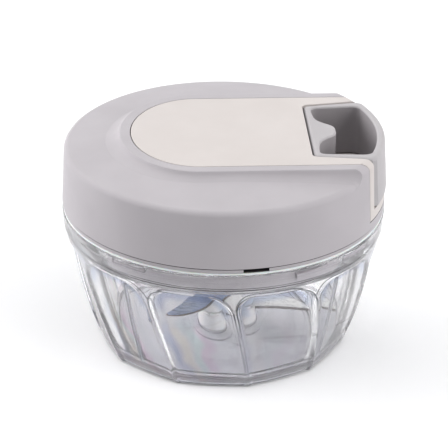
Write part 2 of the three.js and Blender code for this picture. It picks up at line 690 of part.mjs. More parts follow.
/** Plan outline with points along its straight sides too, so that its height can follow the dome. */
function flankRing(share) {
  const offset = PLATFORM_BORDER + FLANK_WIDTH * share;
  const [start, end, ...arc] = stadium(offset, FLANK_LEFT_EXTRA * share, coverRadius + OVERRUN);
  const steps = SMALL_STEPS / 2;
  const between = (a, b) => Array.from({ length: steps }, (_, i) => a.clone().lerp(b, i / steps));
  const plan = [start, ...between(end, arc[0]), ...arc, ...between(arc[arc.length - 1], start).slice(1)];
  const drop = Math.sqrt(1 - (1 - share) ** 2);
  return plan.map((p) => {
    const ground = crownHeight(p.length()) - SEAM / 2;
    return new THREE.Vector3(p.x, p.y, THREE.MathUtils.lerp(platformTop, ground, drop));
  });
}

/** Everything inside the lid's side wall and below the platform's rounded rim. */
function wallEnvelope() {
  const top = platformTop - PLATFORM_RIM_FILLET;
  const arc = quarter(wallRadius(top), top, PLATFORM_RIM_FILLET);
  return turned([[0, coverEdgeZ], [coverRadius, coverEdgeZ], ...arc, [0, platformTop]]);
}

function makeCover() {
  const rings = FLANK_SHARES.map(flankRing);
  const skirt = rings[rings.length - 1].map((p) => p.clone().setZ(coverWallTop - COVER_WALL));
  const platform = loft([skirt, ...rings.reverse()]).intersect(wallEnvelope());
  const shoulder = quarter(wallRadius(coverWallTop), coverWallTop, SHOULDER_RADIUS);
  const crown = [[crownFlatRadius, crownTopZ], [0, crownTopZ]];
  const shell = turned([[0, coverEdgeZ], [coverRadius, coverEdgeZ], ...shoulder, ...crown]);
  const innerEdge = coverRadius - COVER_WALL;
  const under = coverEdgeZ - OVERRUN;
  const ceiling = crownEdgeZ - COVER_WALL;
  const hollow = turned([
    [0, under], [innerEdge, under], [innerEdge, coverEdgeZ],
    [wallRadius(coverWallTop) - COVER_WALL, coverWallTop - SEAM], [shoulderRadius - COVER_WALL, ceiling],
    [crownFlatRadius, crownTopZ - COVER_WALL], [0, crownTopZ - COVER_WALL],
  ]);
  const reach = coverRadius + OVERRUN;
  const above = platformTop + OVERRUN;
  const atticPlan = new THREE.Shape(stadium(PLATFORM_BORDER - PLATFORM_WALL, 0, dockX));
  const attic = prism(atticPlan, ceiling, roofUnder);
  const recess = prism(new THREE.Shape(stadium(SEAM, 0, reach)), recessFloor, above);
  let cover = without(shell.add(platform), [hollow, attic, recess]);
  const postTop = crownHeight(postCircleRadius + POST_RADIUS) - COVER_WALL / 2;
  const post = round(POST_RADIUS, coverEdgeZ, postTop);
  const posts = screwDegs.map((deg) => atScrew(post, deg));
  const pilot = round(SCREW_RADIUS + SEAM, under, coverEdgeZ + SCREW_LENGTH);
  const pilots = screwDegs.map((deg) => atScrew(pilot, deg));
  const axleBoss = round(shaftBore + AXLE_BOSS_WALL, axleBossBottom, roofUnder + PLATFORM_WALL / 2);
  const axleBore = round(shaftBore, axleBossBottom - OVERRUN, roofUnder);
  cover = without(joined(cover, [...posts, axleBoss]), [...pilots, axleBore]);
  const dock = slab(eyeletInner - SEAM, reach, panelHalfWidth + SEAM, ledgeBottom - SEAM, above);
  return cover.subtract(dock);
}

// Top panel with the dock

const flareSlope = GRIP_FLARE / (dockFlareX - dockX);

/** Half-width of the dock's pocket at a place along X. */
const pocketHalf = (x) => gripHalfWidth + DOCK_SIDE_GAP + flareSlope * (x - dockX);

function makeTopPanel() {
  const reach = coverRadius + OVERRUN;
  const plate = prism(new THREE.Shape(stadium(0, 0, reach)), panelBottom, platformTop);
  const block = slab(eyeletInner, reach, panelHalfWidth, ledgeBottom, panelBottom + PANEL_THICKNESS / 2);
  const side = [
    [dockX, pocketHalf(dockX)], [dockFlareX, pocketHalf(dockFlareX)],
    [dockMouthX, dockMouthHalfWidth], [reach, dockMouthHalfWidth],
  ].map(([x, y]) => new THREE.Vector2(x, y));
  const mirrored = side.map((p) => new THREE.Vector2(p.x, -p.y)).reverse();
  const pocket = prism(new THREE.Shape([...mirrored, ...side]), dockFloorZ, platformTop + OVERRUN);
  const inner = panelHalfWidth - DOCK_WALL;
  const hollowSide = [
    [dockX, pocketHalf(dockX) + DOCK_WALL], [dockFlareX, pocketHalf(dockFlareX) + DOCK_WALL],
    [dockFlareX, inner], [dockX, inner],
  ].map(([x, y]) => new THREE.Vector2(x, y));
  const hollow = prism(new THREE.Shape(hollowSide), ledgeBottom - OVERRUN, panelBottom);
  const boreRadius = EYELET_BORE + EYELET_WALL + SEAM;
  const bore = alongX(boreRadius, eyeletInner - OVERRUN, dockX + OVERRUN, cordExitZ);
  const body = plate.add(block).intersect(wallEnvelope());
  return without(body, [pocket, hollow, hollow.mirror([0, 1, 0]), bore]);
}

/** Round bar along X through the axis plane, at a height. */
function alongX(radius, x0, x1, z) {
  return round(radius, x0, x1).rotate([0, 90, 0]).translate([0, 0, z]);
}

// Grip

/** Plan outline with rounded corners from corner points and radii. */
function roundedOutline(corners) {
  const shape = new THREE.Shape();
  const count = corners.length;
  corners.forEach(([x, y, radius], i) => {
    const at = new THREE.Vector2(x, y);
    const before = new THREE.Vector2(...corners[(i + count - 1) % count].slice(0, 2)).sub(at);
    const after = new THREE.Vector2(...corners[(i + 1) % count].slice(0, 2)).sub(at);
    const from = at.clone().add(before.setLength(Math.min(radius, before.length() / 2)));
    const to = at.clone().add(after.setLength(Math.min(radius, after.length() / 2)));
    if (i === 0) shape.moveTo(from.x, from.y);
    else shape.lineTo(from.x, from.y);
    if (radius > 0) shape.quadraticCurveTo(at.x, at.y, to.x, to.y);
  });
  shape.closePath();
  return shape;
}

/** Outside wall of the grip: a little proud of the lid's wall, with rounded edges. */
function gripEnvelope() {
  const low = gripBottom + GRIP_BOTTOM_FILLET;
  const high = platformTop - GRIP_TOP_FILLET;
  const lowRadius = wallRadius(low) + GRIP_PROUD_BOTTOM;
  const foot = quarter(lowRadius, -low, GRIP_BOTTOM_FILLET).map(([r, z]) => [r, -z]).reverse();
  const head = quarter(wallRadius(high) + GRIP_PROUD_TOP, high, GRIP_TOP_FILLET);
  return turned([[0, gripBottom], ...foot, ...head, [0, platformTop]]);
}

/** Plan outline of the finger hole, with the bell-shaped boss between its two lobes. */
function holeShape() {
  const innerX = gripX + GRIP_INNER_WALL;
  const rootHalf = gripHalfWidth - GRIP_SIDE_WALL;
  const outer = wallRadius(platformTop) + GRIP_PROUD_TOP - GRIP_OUTER_WALL;
  const tipHalf = gripHalfWidth + GRIP_FLARE - GRIP_SIDE_WALL - GRIP_SIDE_WALL_GROWTH;
  const points = [];
  const bells = SMALL_STEPS / 2;
  for (let i = 0; i <= bells; i += 1) {
    const y = (rootHalf - HOLE_CORNER / 2) * (1 - (2 * i) / bells);
    points.push(new THREE.Vector2(innerX + BELL_REACH / (1 + (y / BELL_HALF_WIDTH) ** 4), y));
  }
  points.push(new THREE.Vector2(innerX + HOLE_CORNER / 2, -rootHalf));
  const tipAngle = Math.asin((tipHalf - HOLE_CORNER / 2) / outer);
  const corner = outer - HOLE_CORNER;
  points.push(new THREE.Vector2(corner * Math.cos(Math.asin(tipHalf / outer)), -tipHalf));
  for (let i = 0; i <= bells; i += 1) {
    const angle = tipAngle * ((2 * i) / bells - 1);
    points.push(new THREE.Vector2(outer * Math.cos(angle), outer * Math.sin(angle)));
  }
  points.push(new THREE.Vector2(corner * Math.cos(Math.asin(tipHalf / outer)), tipHalf));
  points.push(new THREE.Vector2(innerX + HOLE_CORNER / 2, rootHalf));
  return new THREE.Shape(points);
}

function makeGrip() {
  const reach = coverRadius + OVERRUN;
  const reachHalf = gripHalfWidth + (GRIP_FLARE * (reach - gripX)) / (dockFlareX - dockX);
  const outline = roundedOutline([
    [gripX, gripHalfWidth, GRIP_CORNER], [gripX, -gripHalfWidth, GRIP_CORNER],
    [reach, -reachHalf, 0], [reach, reachHalf, 0],
  ]);
  const body = prism(outline, gripBottom, platformTop, FILLET_STEPS).intersect(gripEnvelope());
  const hole = prism(holeShape(), gripBottom - OVERRUN, platformTop + OVERRUN);
  const bore = alongX(CORD_RADIUS + SEAM, gripX - OVERRUN, stopX, cordExitZ);
  const half = STOP_LENGTH / 2 + SEAM;
  const width = STOP_RADIUS + SEAM;
  const pocket = slab(stopX - half, stopX + half, width, gripBottom - OVERRUN, cordExitZ + width);
  return without(body, [hole, bore, pocket]);
}

// Reel, spring and cord

function makeReel() {
  const body = turned([
    [0, springBottom], [arborRadius, springBottom], [arborRadius, reelBottom],
    [reelFlangeRadius, reelBottom], [reelFlangeRadius, drumBottom], [drumRadius, drumBottom],
    [drumRadius, drumTop], [reelFlangeRadius, drumTop], [reelFlangeRadius, reelTop], [0, reelTop],
  ], MIDDLE_STEPS);
  return body.subtract(hexPrism(shaftBore, springBottom - OVERRUN, reelTop + OVERRUN));
}

function makeSpring() {
  const inner = arborRadius + SEAM + SPRING_THICKNESS / 2;
  const outer = springCupRadius - SPRING_CUP_WALL - SEAM - SPRING_THICKNESS / 2;
  const steps = SPRING_TURNS * SMALL_STEPS / 2;
  const side = (shift) => Array.from({ length: steps + 1 }, (_, i) => {
    const angle = (i / steps) * SPRING_TURNS * TURN;
    const r = inner + ((outer - inner) * i) / steps + shift;
    return new THREE.Vector2(r * Math.cos(angle), r * Math.sin(angle));
  });
  const strip = [...side(SPRING_THICKNESS / 2), ...side(-SPRING_THICKNESS / 2).reverse()];
  return prism(new THREE.Shape(strip), springBottom, springTop);
}

/** Angle of the place where the cord leaves the reel towards the eyelet. */
const leaveAngle = -Math.acos(cordCircle / eyeletInner);
const leaveX = cordCircle * Math.cos(leaveAngle);
const leaveY = cordCircle * Math.sin(leaveAngle);
const leavePoint = new THREE.Vector3(leaveX, leaveY, windingTop);

class Winding extends THREE.Curve {
  getPoint(t, target = new THREE.Vector3()) {
    const angle = leaveAngle - (1 - t) * cordTurns * TURN;
    const z = windingTop - (1 - t) * cordTurns * CORD_PITCH;
    return target.set(cordCircle * Math.cos(angle), cordCircle * Math.sin(angle), z);
  }
}

function makeRun() {
  const exit = new THREE.Vector3(eyeletInner - EYELET_FLANGE_THICKNESS - SEAM, 0, cordExitZ);
  const level = exit.clone().setZ(windingTop).sub(leavePoint).normalize();
  const start = leavePoint.clone().addScaledVector(level, CORD_RADIUS + SEAM);
  const clearCircle = cordCircle + CORD_RADIUS * 2 + SEAM;
  const clear = leavePoint.clone().addScaledVector(level, Math.sqrt(clearCircle ** 2 - cordCircle ** 2));
  const path = new THREE.CatmullRomCurve3([
    start, start.clone().lerp(clear, 0.5), clear, clear.clone().lerp(exit, 0.5), exit,
    new THREE.Vector3(dockX, 0, cordExitZ),
  ]);
  return tube(path, CORD_RADIUS, SMALL_STEPS, CORD_SIDES);
}

function makeEyelet() {
  const outer = EYELET_BORE + EYELET_WALL;
  const flange = outer + EYELET_FLANGE_EXTRA;
  const back = eyeletInner - SEAM;
  const start = back - EYELET_FLANGE_THICKNESS;
  return turnedRing([
    [EYELET_BORE, start], [flange, start], [flange, back], [outer, back], [outer, dockX],
    [EYELET_BORE, dockX],
  ], SMALL_STEPS / 2).rotate([0, 90, 0]).translate([0, 0, cordExitZ]);
}

function makeScrew() {
  const headBottom = plateBottom - SEAM - SCREW_HEAD_HEIGHT;
  const head = plateBottom - SEAM;
  const tip = coverEdgeZ + SCREW_LENGTH - SEAM;
  return turned([
    [0, headBottom + SCREW_SOCKET_DEPTH], [SCREW_SOCKET_RADIUS, headBottom + SCREW_SOCKET_DEPTH],
    [SCREW_SOCKET_RADIUS, headBottom], [SCREW_HEAD_RADIUS, headBottom], [SCREW_HEAD_RADIUS, head],
    [SCREW_RADIUS, head], [SCREW_RADIUS, tip - SCREW_RADIUS], [0, tip],
  ], SMALL_STEPS / 2);
}

// Assembly
const chopper = new THREE.Group();
const add = (name, body, finish) => chopper.add(piece(name, body, finish));

add('bowl', makeBowl(), 'clearPlastic');
add('bowl_pin', round(PIN_RADIUS, PIN_SOCKET_FLOOR + SEAM, pinTop), 'steel');
const bushBottom = FLOOR_THICKNESS + PIN_BOSS_HEIGHT + SLACK;
const bushRoof = pinTop + SLACK;
const bushTop = bushRoof + BUSH_WALL;
add('pin_bush', turned([
  [0, bushRoof], [bushBore, bushRoof], [bushBore, bushBottom], [bushOuterRadius, bushBottom],
  [bushOuterRadius, bushTop], [0, bushTop],
], SMALL_STEPS), 'innerPlastic');
add('hub_core', makeHubCore(), 'whitePlastic');
add('hub_cap', makeHubCap(), 'whitePlastic');
const bladeTips = [bladeTipX, bladeTipX - MIDDLE_BLADE_SHORTER, bladeTipX];
['blade_lower', 'blade_middle', 'blade_upper'].forEach((name, i) => {
  const blade = makeBlade(bladeBottoms[i], bladeTips[i]);
  add(name, turnZ(blade, BLADE_FIRST_DEG - rad2deg(TURN / BLADE_COUNT) * i), 'steel');
});
['blade_spacer_lower', 'blade_spacer_upper'].forEach((name, i) => {
  const from = bladeBottoms[i] + BLADE_THICKNESS + SEAM;
  const to = bladeBottoms[i + 1] - SEAM;
  add(name, ring(rootBoreRadius, hubNeckRadius, from, to, SMALL_STEPS), 'whitePlastic');
});

const sealTop = sealBottom + SEAL_THICKNESS;
add('lid_seal', ring(flangeRadius - SEAL_WIDTH, flangeRadius, sealBottom, sealTop), 'silicone');
add('lid_base', makeLidBase(), 'greyPlastic');
add('lid_cover', makeCover(), 'greyPlastic');
add('top_panel', makeTopPanel(), 'palePlastic');
add('pull_handle', makeGrip(), 'greyPlastic');
screwDegs.forEach((deg, i) => add(`cover_screw_${i + 1}`, atScrew(makeScrew(), deg), 'steel'));

add('drive_shaft', makeShaft(), 'steel');
add('drive_dog', makeDog(), 'innerPlastic');
add('drive_seal', makeShaftSeal(), 'silicone');
add('reel', makeReel(), 'innerPlastic');
const cupBore = SHAFT_RADIUS + SLACK;
const cupInner = springCupRadius - SPRING_CUP_WALL;
const cupFloorTop = cupBottom + SPRING_CUP_FLOOR;
add('spring_cup', turnedRing([
  [cupBore, cupBottom], [springCupRadius, cupBottom], [springCupRadius, cupTop],
  [cupInner, cupTop], [cupInner, cupFloorTop], [cupBore, cupFloorTop],
], MIDDLE_STEPS), 'innerPlastic');
add('rewind_spring', makeSpring(), 'steel');
const plateTop = springPlateBottom + SPRING_PLATE_THICKNESS;
const plateBore = arborRadius + SLACK;
add('spring_plate', ring(plateBore, springCupRadius, springPlateBottom, plateTop, MIDDLE_STEPS), 'steel');
const windingSteps = Math.ceil(cordTurns * SMALL_STEPS);
add('cord_winding', tube(new Winding(), CORD_RADIUS, windingSteps, CORD_SIDES), 'cordFibre');
add('cord_run', makeRun(), 'cordFibre');
const stopStart = stopX - STOP_LENGTH / 2;
add('cord_lead', alongX(CORD_RADIUS, dockX + SEAM, stopStart - SEAM, cordExitZ), 'cordFibre');
add('cord_guide', makeEyelet(), 'steel');
add('cord_stop', alongX(STOP_RADIUS, stopStart, stopStart + STOP_LENGTH, cordExitZ), 'steel');

export default chopper;
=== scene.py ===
import logging
import math
from abc import ABC, abstractmethod
from collections.abc import Callable, Iterable, Sequence
from dataclasses import dataclass, field
from enum import Enum
from functools import reduce
from operator import add, sub

import bmesh
import bpy
from mathutils import Matrix, Vector


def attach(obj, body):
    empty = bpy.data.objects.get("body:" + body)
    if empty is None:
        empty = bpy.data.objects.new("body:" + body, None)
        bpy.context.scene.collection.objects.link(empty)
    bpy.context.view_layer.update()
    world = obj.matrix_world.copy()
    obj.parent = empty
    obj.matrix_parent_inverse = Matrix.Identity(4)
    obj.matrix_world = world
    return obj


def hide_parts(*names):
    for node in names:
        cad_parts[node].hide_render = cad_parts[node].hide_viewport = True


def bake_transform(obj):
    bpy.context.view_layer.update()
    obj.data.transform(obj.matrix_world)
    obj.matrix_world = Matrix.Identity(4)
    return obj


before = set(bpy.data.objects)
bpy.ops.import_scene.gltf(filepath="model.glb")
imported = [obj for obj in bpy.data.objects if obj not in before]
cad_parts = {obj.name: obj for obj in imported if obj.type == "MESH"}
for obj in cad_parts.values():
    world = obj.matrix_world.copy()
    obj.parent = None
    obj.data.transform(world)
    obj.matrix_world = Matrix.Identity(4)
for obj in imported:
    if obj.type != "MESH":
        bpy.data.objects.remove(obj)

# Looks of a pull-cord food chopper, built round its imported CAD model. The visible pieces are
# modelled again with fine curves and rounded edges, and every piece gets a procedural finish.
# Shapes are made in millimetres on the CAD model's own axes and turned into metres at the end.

log = logging.getLogger("chopper")

MM = 0.001
TURN = math.tau
SEAM = 0.3
OVERRUN = 3.0
CORD_Z = 73.2
SCREW_X = 22.5
SCREW_Y = 38.97
PILOT = 1.6

Point = tuple[float, float, float]
Plan = list[tuple[float, float]]
Profile = list[tuple[float, float]]
Colour = tuple[float, float, float, float]
Edges = tuple[float, float, float, float]
Value = "Wire | float | Sequence[float]"


class Operation(Enum):
    """Ways to combine two solids."""

    JOIN = "UNION"
    CUT = "DIFFERENCE"
    SHARE = "INTERSECT"


class Part(Enum):
    """Bodies of the CAD model that the new pieces ride on."""

    BOWL = "bowl"
    BLADES = "blades"
    LID_RING = "lid_ring"
    LID = "lid"
    HANDLE = "handle"


# Shape tools


def lerp(start: float, end: float, share: float) -> float:
    """Return the number that lies a share of the way from start to end."""
    return start + (end - start) * share


def smooth(value: float) -> float:
    """Return a soft step that rises from 0 to 1 with the value."""
    share = min(max(value, 0.0), 1.0)
    return share * share * (3 - 2 * share)


def polar(radius: float, angle: float, z: float = 0.0) -> Point:
    """Return the point at a radius and an angle in radians about the Z axis."""
    return (radius * math.cos(angle), radius * math.sin(angle), z)


def right_angle(steps: int) -> list[float]:
    """Return even angles from 0 to a right angle, in radians."""
    return [step / steps * math.pi / 2 for step in range(steps + 1)]


def quarter(radius: float, z: float, fillet: float, steps: int = 8) -> Profile:
    """Return a quarter round from an upright wall, at a radius and height, to a level top."""
    centre = radius - fillet
    return [(centre + fillet * math.cos(turn), z + fillet * math.sin(turn)) for turn in right_angle(steps)]


def oblong(near: float, far: float, half: float) -> Plan:
    """Return a rectangle from one X to another, as wide on both sides of the X axis."""
    return [(near, -half), (far, -half), (far, half), (near, half)]


def bend(start: Vector, corner: Vector, end: Vector, steps: int) -> Plan:
    """Return the curve from start to end that bends towards a corner.

    Args:
        start: First point.
        corner: Point that the curve bends towards.
        end: Last point.
        steps: Number of facets.

    Returns:
        The curve's points.
    """
    curve: Plan = []
    for share in [step / steps for step in range(steps + 1)]:
        point = start * (1 - share) ** 2 + corner * (2 * share * (1 - share)) + end * share**2
        curve.append((point.x, point.y))
    return curve


def offset(plan: Plan, distance: float) -> Plan:
    """Return a counter-clockwise plan outline moved outwards.

    Args:
        plan: Outline points.
        distance: Distance in millimetres; a negative one moves inwards.

    Returns:
        The moved outline, with as many points.
    """
    moved: Plan = []
    for index, (x, y) in enumerate(plan):
        before = Vector(plan[index]) - Vector(plan[index - 1])
        after = Vector(plan[(index + 1) % len(plan)]) - Vector(plan[index])
        one = Vector((before.y, -before.x)).normalized()
        two = Vector((after.y, -after.x)).normalized()
        middle = (one + two).normalized()
        reach = distance / max(middle.dot(one), 0.5)
        moved.append((x + middle.x * reach, y + middle.y * reach))
    return moved


def rounded(corners: Sequence[tuple[float, float, float]], steps: int) -> Plan:
    """Return an outline with its corners rounded.

    Args:
        corners: Corner points, each with its radius.
        steps: Facets in each corner.

    Returns:
        The outline.
    """
    plan: Plan = []
    for index, (x, y, radius) in enumerate(corners):
        here = Vector((x, y))
        back = Vector(corners[index - 1][:2]) - here
        ahead = Vector(corners[(index + 1) % len(corners)][:2]) - here
        start = here + back.normalized() * min(radius, back.length / 2)
        end = here + ahead.normalized() * min(radius, ahead.length / 2)
        plan += bend(start, here, end, steps) if radius > 0 else [(x, y)]
    return plan


class Solid:
    """Closed mesh in millimetres; + joins another to it, - cuts one out and & keeps the shared part."""

    def __init__(self, mesh: bpy.types.Mesh) -> None:
        """Keep the mesh."""
        self.mesh = mesh

    @classmethod
    def loft(cls, rings: Sequence[Sequence[Point]], closed: bool = False) -> "Solid":
        """Make a solid through rings of equal point counts, with its faces turned outwards.

        Args:
            rings: Rings in order.
            closed: Whether the last ring joins the first; otherwise flat caps close both ends.

        Returns:
            The solid.
        """
        count = len(rings[0])
        faces: list[list[int]] = []
        for level in range(len(rings) if closed else len(rings) - 1):
            low = level * count
            high = (level + 1) % len(rings) * count
            for index in range(count):
                after = (index + 1) % count
                faces.append([low + index, low + after, high + after, high + index])
        if not closed:
            last = (len(rings) - 1) * count
            faces += [list(range(count))[::-1], list(range(last, last + count))]
        mesh = bpy.data.meshes.new("solid")
        mesh.from_pydata([point for ring in rings for point in ring], [], faces)
        work = bmesh.new()
        work.from_mesh(mesh)
        bmesh.ops.recalc_face_normals(work, faces=work.faces[:])
        work.to_mesh(mesh)
        work.free()
        return cls(mesh)

    @classmethod
    def lathe(cls, profile: Profile, steps: int = 192, closed: bool = False) -> "Solid":
        """Turn a profile about the Z axis.

        Args:
            profile: Radius and height pairs; an open profile starts and ends on the axis.
            steps: Facets in a full turn.
            closed: Whether the profile is a loop clear of the axis.

        Returns:
            The turned solid.
        """
        turn = [step / steps * TURN for step in range(steps)]
        rings = [[polar(radius, angle, z) for angle in turn] for radius, z in profile if radius > 0]
        return cls.loft(rings, closed)

    @classmethod
    def rod(cls, radius: float, low: float, high: float, steps: int = 96) -> "Solid":
        """Make an upright cylinder between two heights."""
        return cls.lathe([(radius, low), (radius, high)], steps)

    @classmethod
    def cord_bore(cls, radius: float, near: float, far: float, steps: int) -> "Solid":
        """Make a cylinder along the cord's line, between two places on X."""
        turn = Matrix.Translation((0, 0, CORD_Z)) @ Matrix.Rotation(math.pi / 2, 4, "Y")
        return cls.rod(radius, near, far, steps).placed(turn)

    @classmethod
    def ring(cls, inner: float, outer: float, low: float, high: float, edge: float = 0.0) -> "Solid":
        """Make a flat ring with small chamfers.

        Args:
            inner: Inner radius.
            outer: Outer radius.
            low: Lower height.
            high: Upper height.
            edge: Chamfer on the four edges.

        Returns:
            The ring.
        """
        profile = [
            (inner, low + edge), (inner + edge, low), (outer - edge, low), (outer, low + edge),
            (outer, high - edge), (outer - edge, high), (inner + edge, high), (inner, high - edge),
        ]
        return cls.lathe(profile if edge > 0 else profile[1::2], 96, True)

    @classmethod
    def prism(cls, plan: Plan, low: float, high: float, foot: float = 0.0, head: float = 0.0) -> "Solid":
        """Make an upright prism whose lower and upper edges may be rounded or flared.

        Args:
            plan: Counter-clockwise outline.
            low: Lower height.
            high: Upper height.
            foot: Rounding of the lower edge; a negative one flares outwards.
            head: Rounding of the upper edge; a negative one flares outwards.

        Returns:
            The prism.
        """
        ways = [(1 - math.sin(turn), math.cos(turn) - 1) for turn in right_angle(4)]
        lower = [(low + abs(foot) * along, foot * across) for along, across in ways[::-1]]
        upper = [(high - abs(head) * along, head * across) for along, across in ways]
        levels = (lower if foot else lower[:1]) + (upper if head else upper[-1:])
        return cls.loft([[(x, y, z) for x, y in offset(plan, shift)] for z, shift in levels])

    @classmethod
    def sector(
        cls, inner: float, outer: float, low: float, high: float, start: float, end: float,
        edge: float = 0.0,
    ) -> "Solid":
        """Make part of a ring between two angles.

        Args:
            inner: Inner radius.
            outer: Outer radius.
            low: Lower height.
            high: Upper height.
            start: First angle in degrees.
            end: Last angle in degrees.
            edge: Rounding of the upper edge.

        Returns:
            The sector.
        """
        steps = max(4, int(abs(end - start) / 2))
        angles = [math.radians(lerp(start, end, step / steps)) for step in range(steps + 1)]
        plan = [polar(outer, angle)[:2] for angle in angles]
        plan += [polar(inner, angle)[:2] for angle in angles[::-1]]
        return cls.prism(plan, low, high, head=edge)

    def _combined(self, other: "Solid", operation: Operation) -> "Solid":
        """Combine this solid with another.

        Args:
            other: Second solid.
            operation: How to combine them.

        Returns:
            The combined solid.
        """
        holders = [linked(bpy.data.objects.new("work", body.mesh)) for body in (self, other)]
        modifier = holders[0].modifiers.new("combine", "BOOLEAN")
        modifier.solver = "MANIFOLD"
        modifier.operation = operation.value
        modifier.object = holders[1]
        graph = bpy.context.evaluated_depsgraph_get()
        mesh = bpy.data.meshes.new_from_object(holders[0].evaluated_get(graph))
        for holder in holders:
            bpy.data.objects.remove(holder)
        return Solid(mesh)

    def __add__(self, other: "Solid") -> "Solid":
        """Join another solid to this one."""
        return self._combined(other, Operation.JOIN)

    def __sub__(self, other: "Solid") -> "Solid":
        """Cut another solid out of this one."""
        return self._combined(other, Operation.CUT)

    def __and__(self, other: "Solid") -> "Solid":
        """Keep what this solid shares with another."""
        return self._combined(other, Operation.SHARE)

    def placed(self, matrix: Matrix) -> "Solid":
        """Return a moved copy.

        Args:
            matrix: Move in millimetres.

        Returns:
            The moved solid.
        """
        mesh = self.mesh.copy()
        mesh.transform(matrix)
        if matrix.determinant() < 0:
            mesh.flip_normals()
        return Solid(mesh)

    def turned(self, degrees: float) -> "Solid":
        """Return a copy turned about the Z axis."""
        return self.placed(Matrix.Rotation(math.radians(degrees), 4, "Z"))

    def around(self, count: int, first: float = 0.0) -> list["Solid"]:
        """Return copies spread evenly round the Z axis, the first at an angle in degrees."""
        return [self.turned(first + 360 / count * index) for index in range(count)]

    def at_screws(self) -> list["Solid"]:
        """Return a copy at each of the four screws that hold the lid's base to its cover."""
        places = [(SCREW_X * side, SCREW_Y * end, 0) for side in (1, -1) for end in (1, -1)]
        return [self.placed(Matrix.Translation(place)) for place in places]


def linked(thing: bpy.types.Object) -> bpy.types.Object:
    """Put an object into the scene and return it."""
    bpy.context.scene.collection.objects.link(thing)
    return thing


def joined(first: Solid, others: Iterable[Solid]) -> Solid:
    """Join solids to the first."""
    return reduce(add, others, first)


def cut(first: Solid, others: Iterable[Solid]) -> Solid:
    """Cut solids out of the first."""
    return reduce(sub, others, first)


# Node graphs


class Wire:
    """Output of a shader node; arithmetic on it adds Math nodes."""

    def __init__(self, graph: "Graph", socket: bpy.types.NodeSocket) -> None:
        """Keep the output socket and the graph that it belongs to."""
        self.graph = graph
        self.socket = socket

    def __add__(self, other: Value) -> "Wire":
        """Add a value or wire."""
        return self.graph.math("ADD", self, other)

    def __radd__(self, other: Value) -> "Wire":
        """Add to a value."""
        return self.graph.math("ADD", other, self)

    def __sub__(self, other: Value) -> "Wire":
        """Take away a value or wire."""
        return self.graph.math("SUBTRACT", self, other)

    def __rsub__(self, other: Value) -> "Wire":
        """Take this away from a value."""
        return self.graph.math("SUBTRACT", other, self)

    def __mul__(self, other: Value) -> "Wire":
        """Multiply by a value or wire."""
        return self.graph.math("MULTIPLY", self, other)

    def __rmul__(self, other: Value) -> "Wire":
        """Multiply a value by this."""
        return self.graph.math("MULTIPLY", other, self)

    def __truediv__(self, other: Value) -> "Wire":
        """Divide by a value or wire."""
        return self.graph.math("DIVIDE", self, other)

    def __rtruediv__(self, other: Value) -> "Wire":
        """Divide a value by this."""
        return self.graph.math("DIVIDE", other, self)

    def __pow__(self, other: Value) -> "Wire":
        """Raise to a power."""
        return self.graph.math("POWER", self, other)


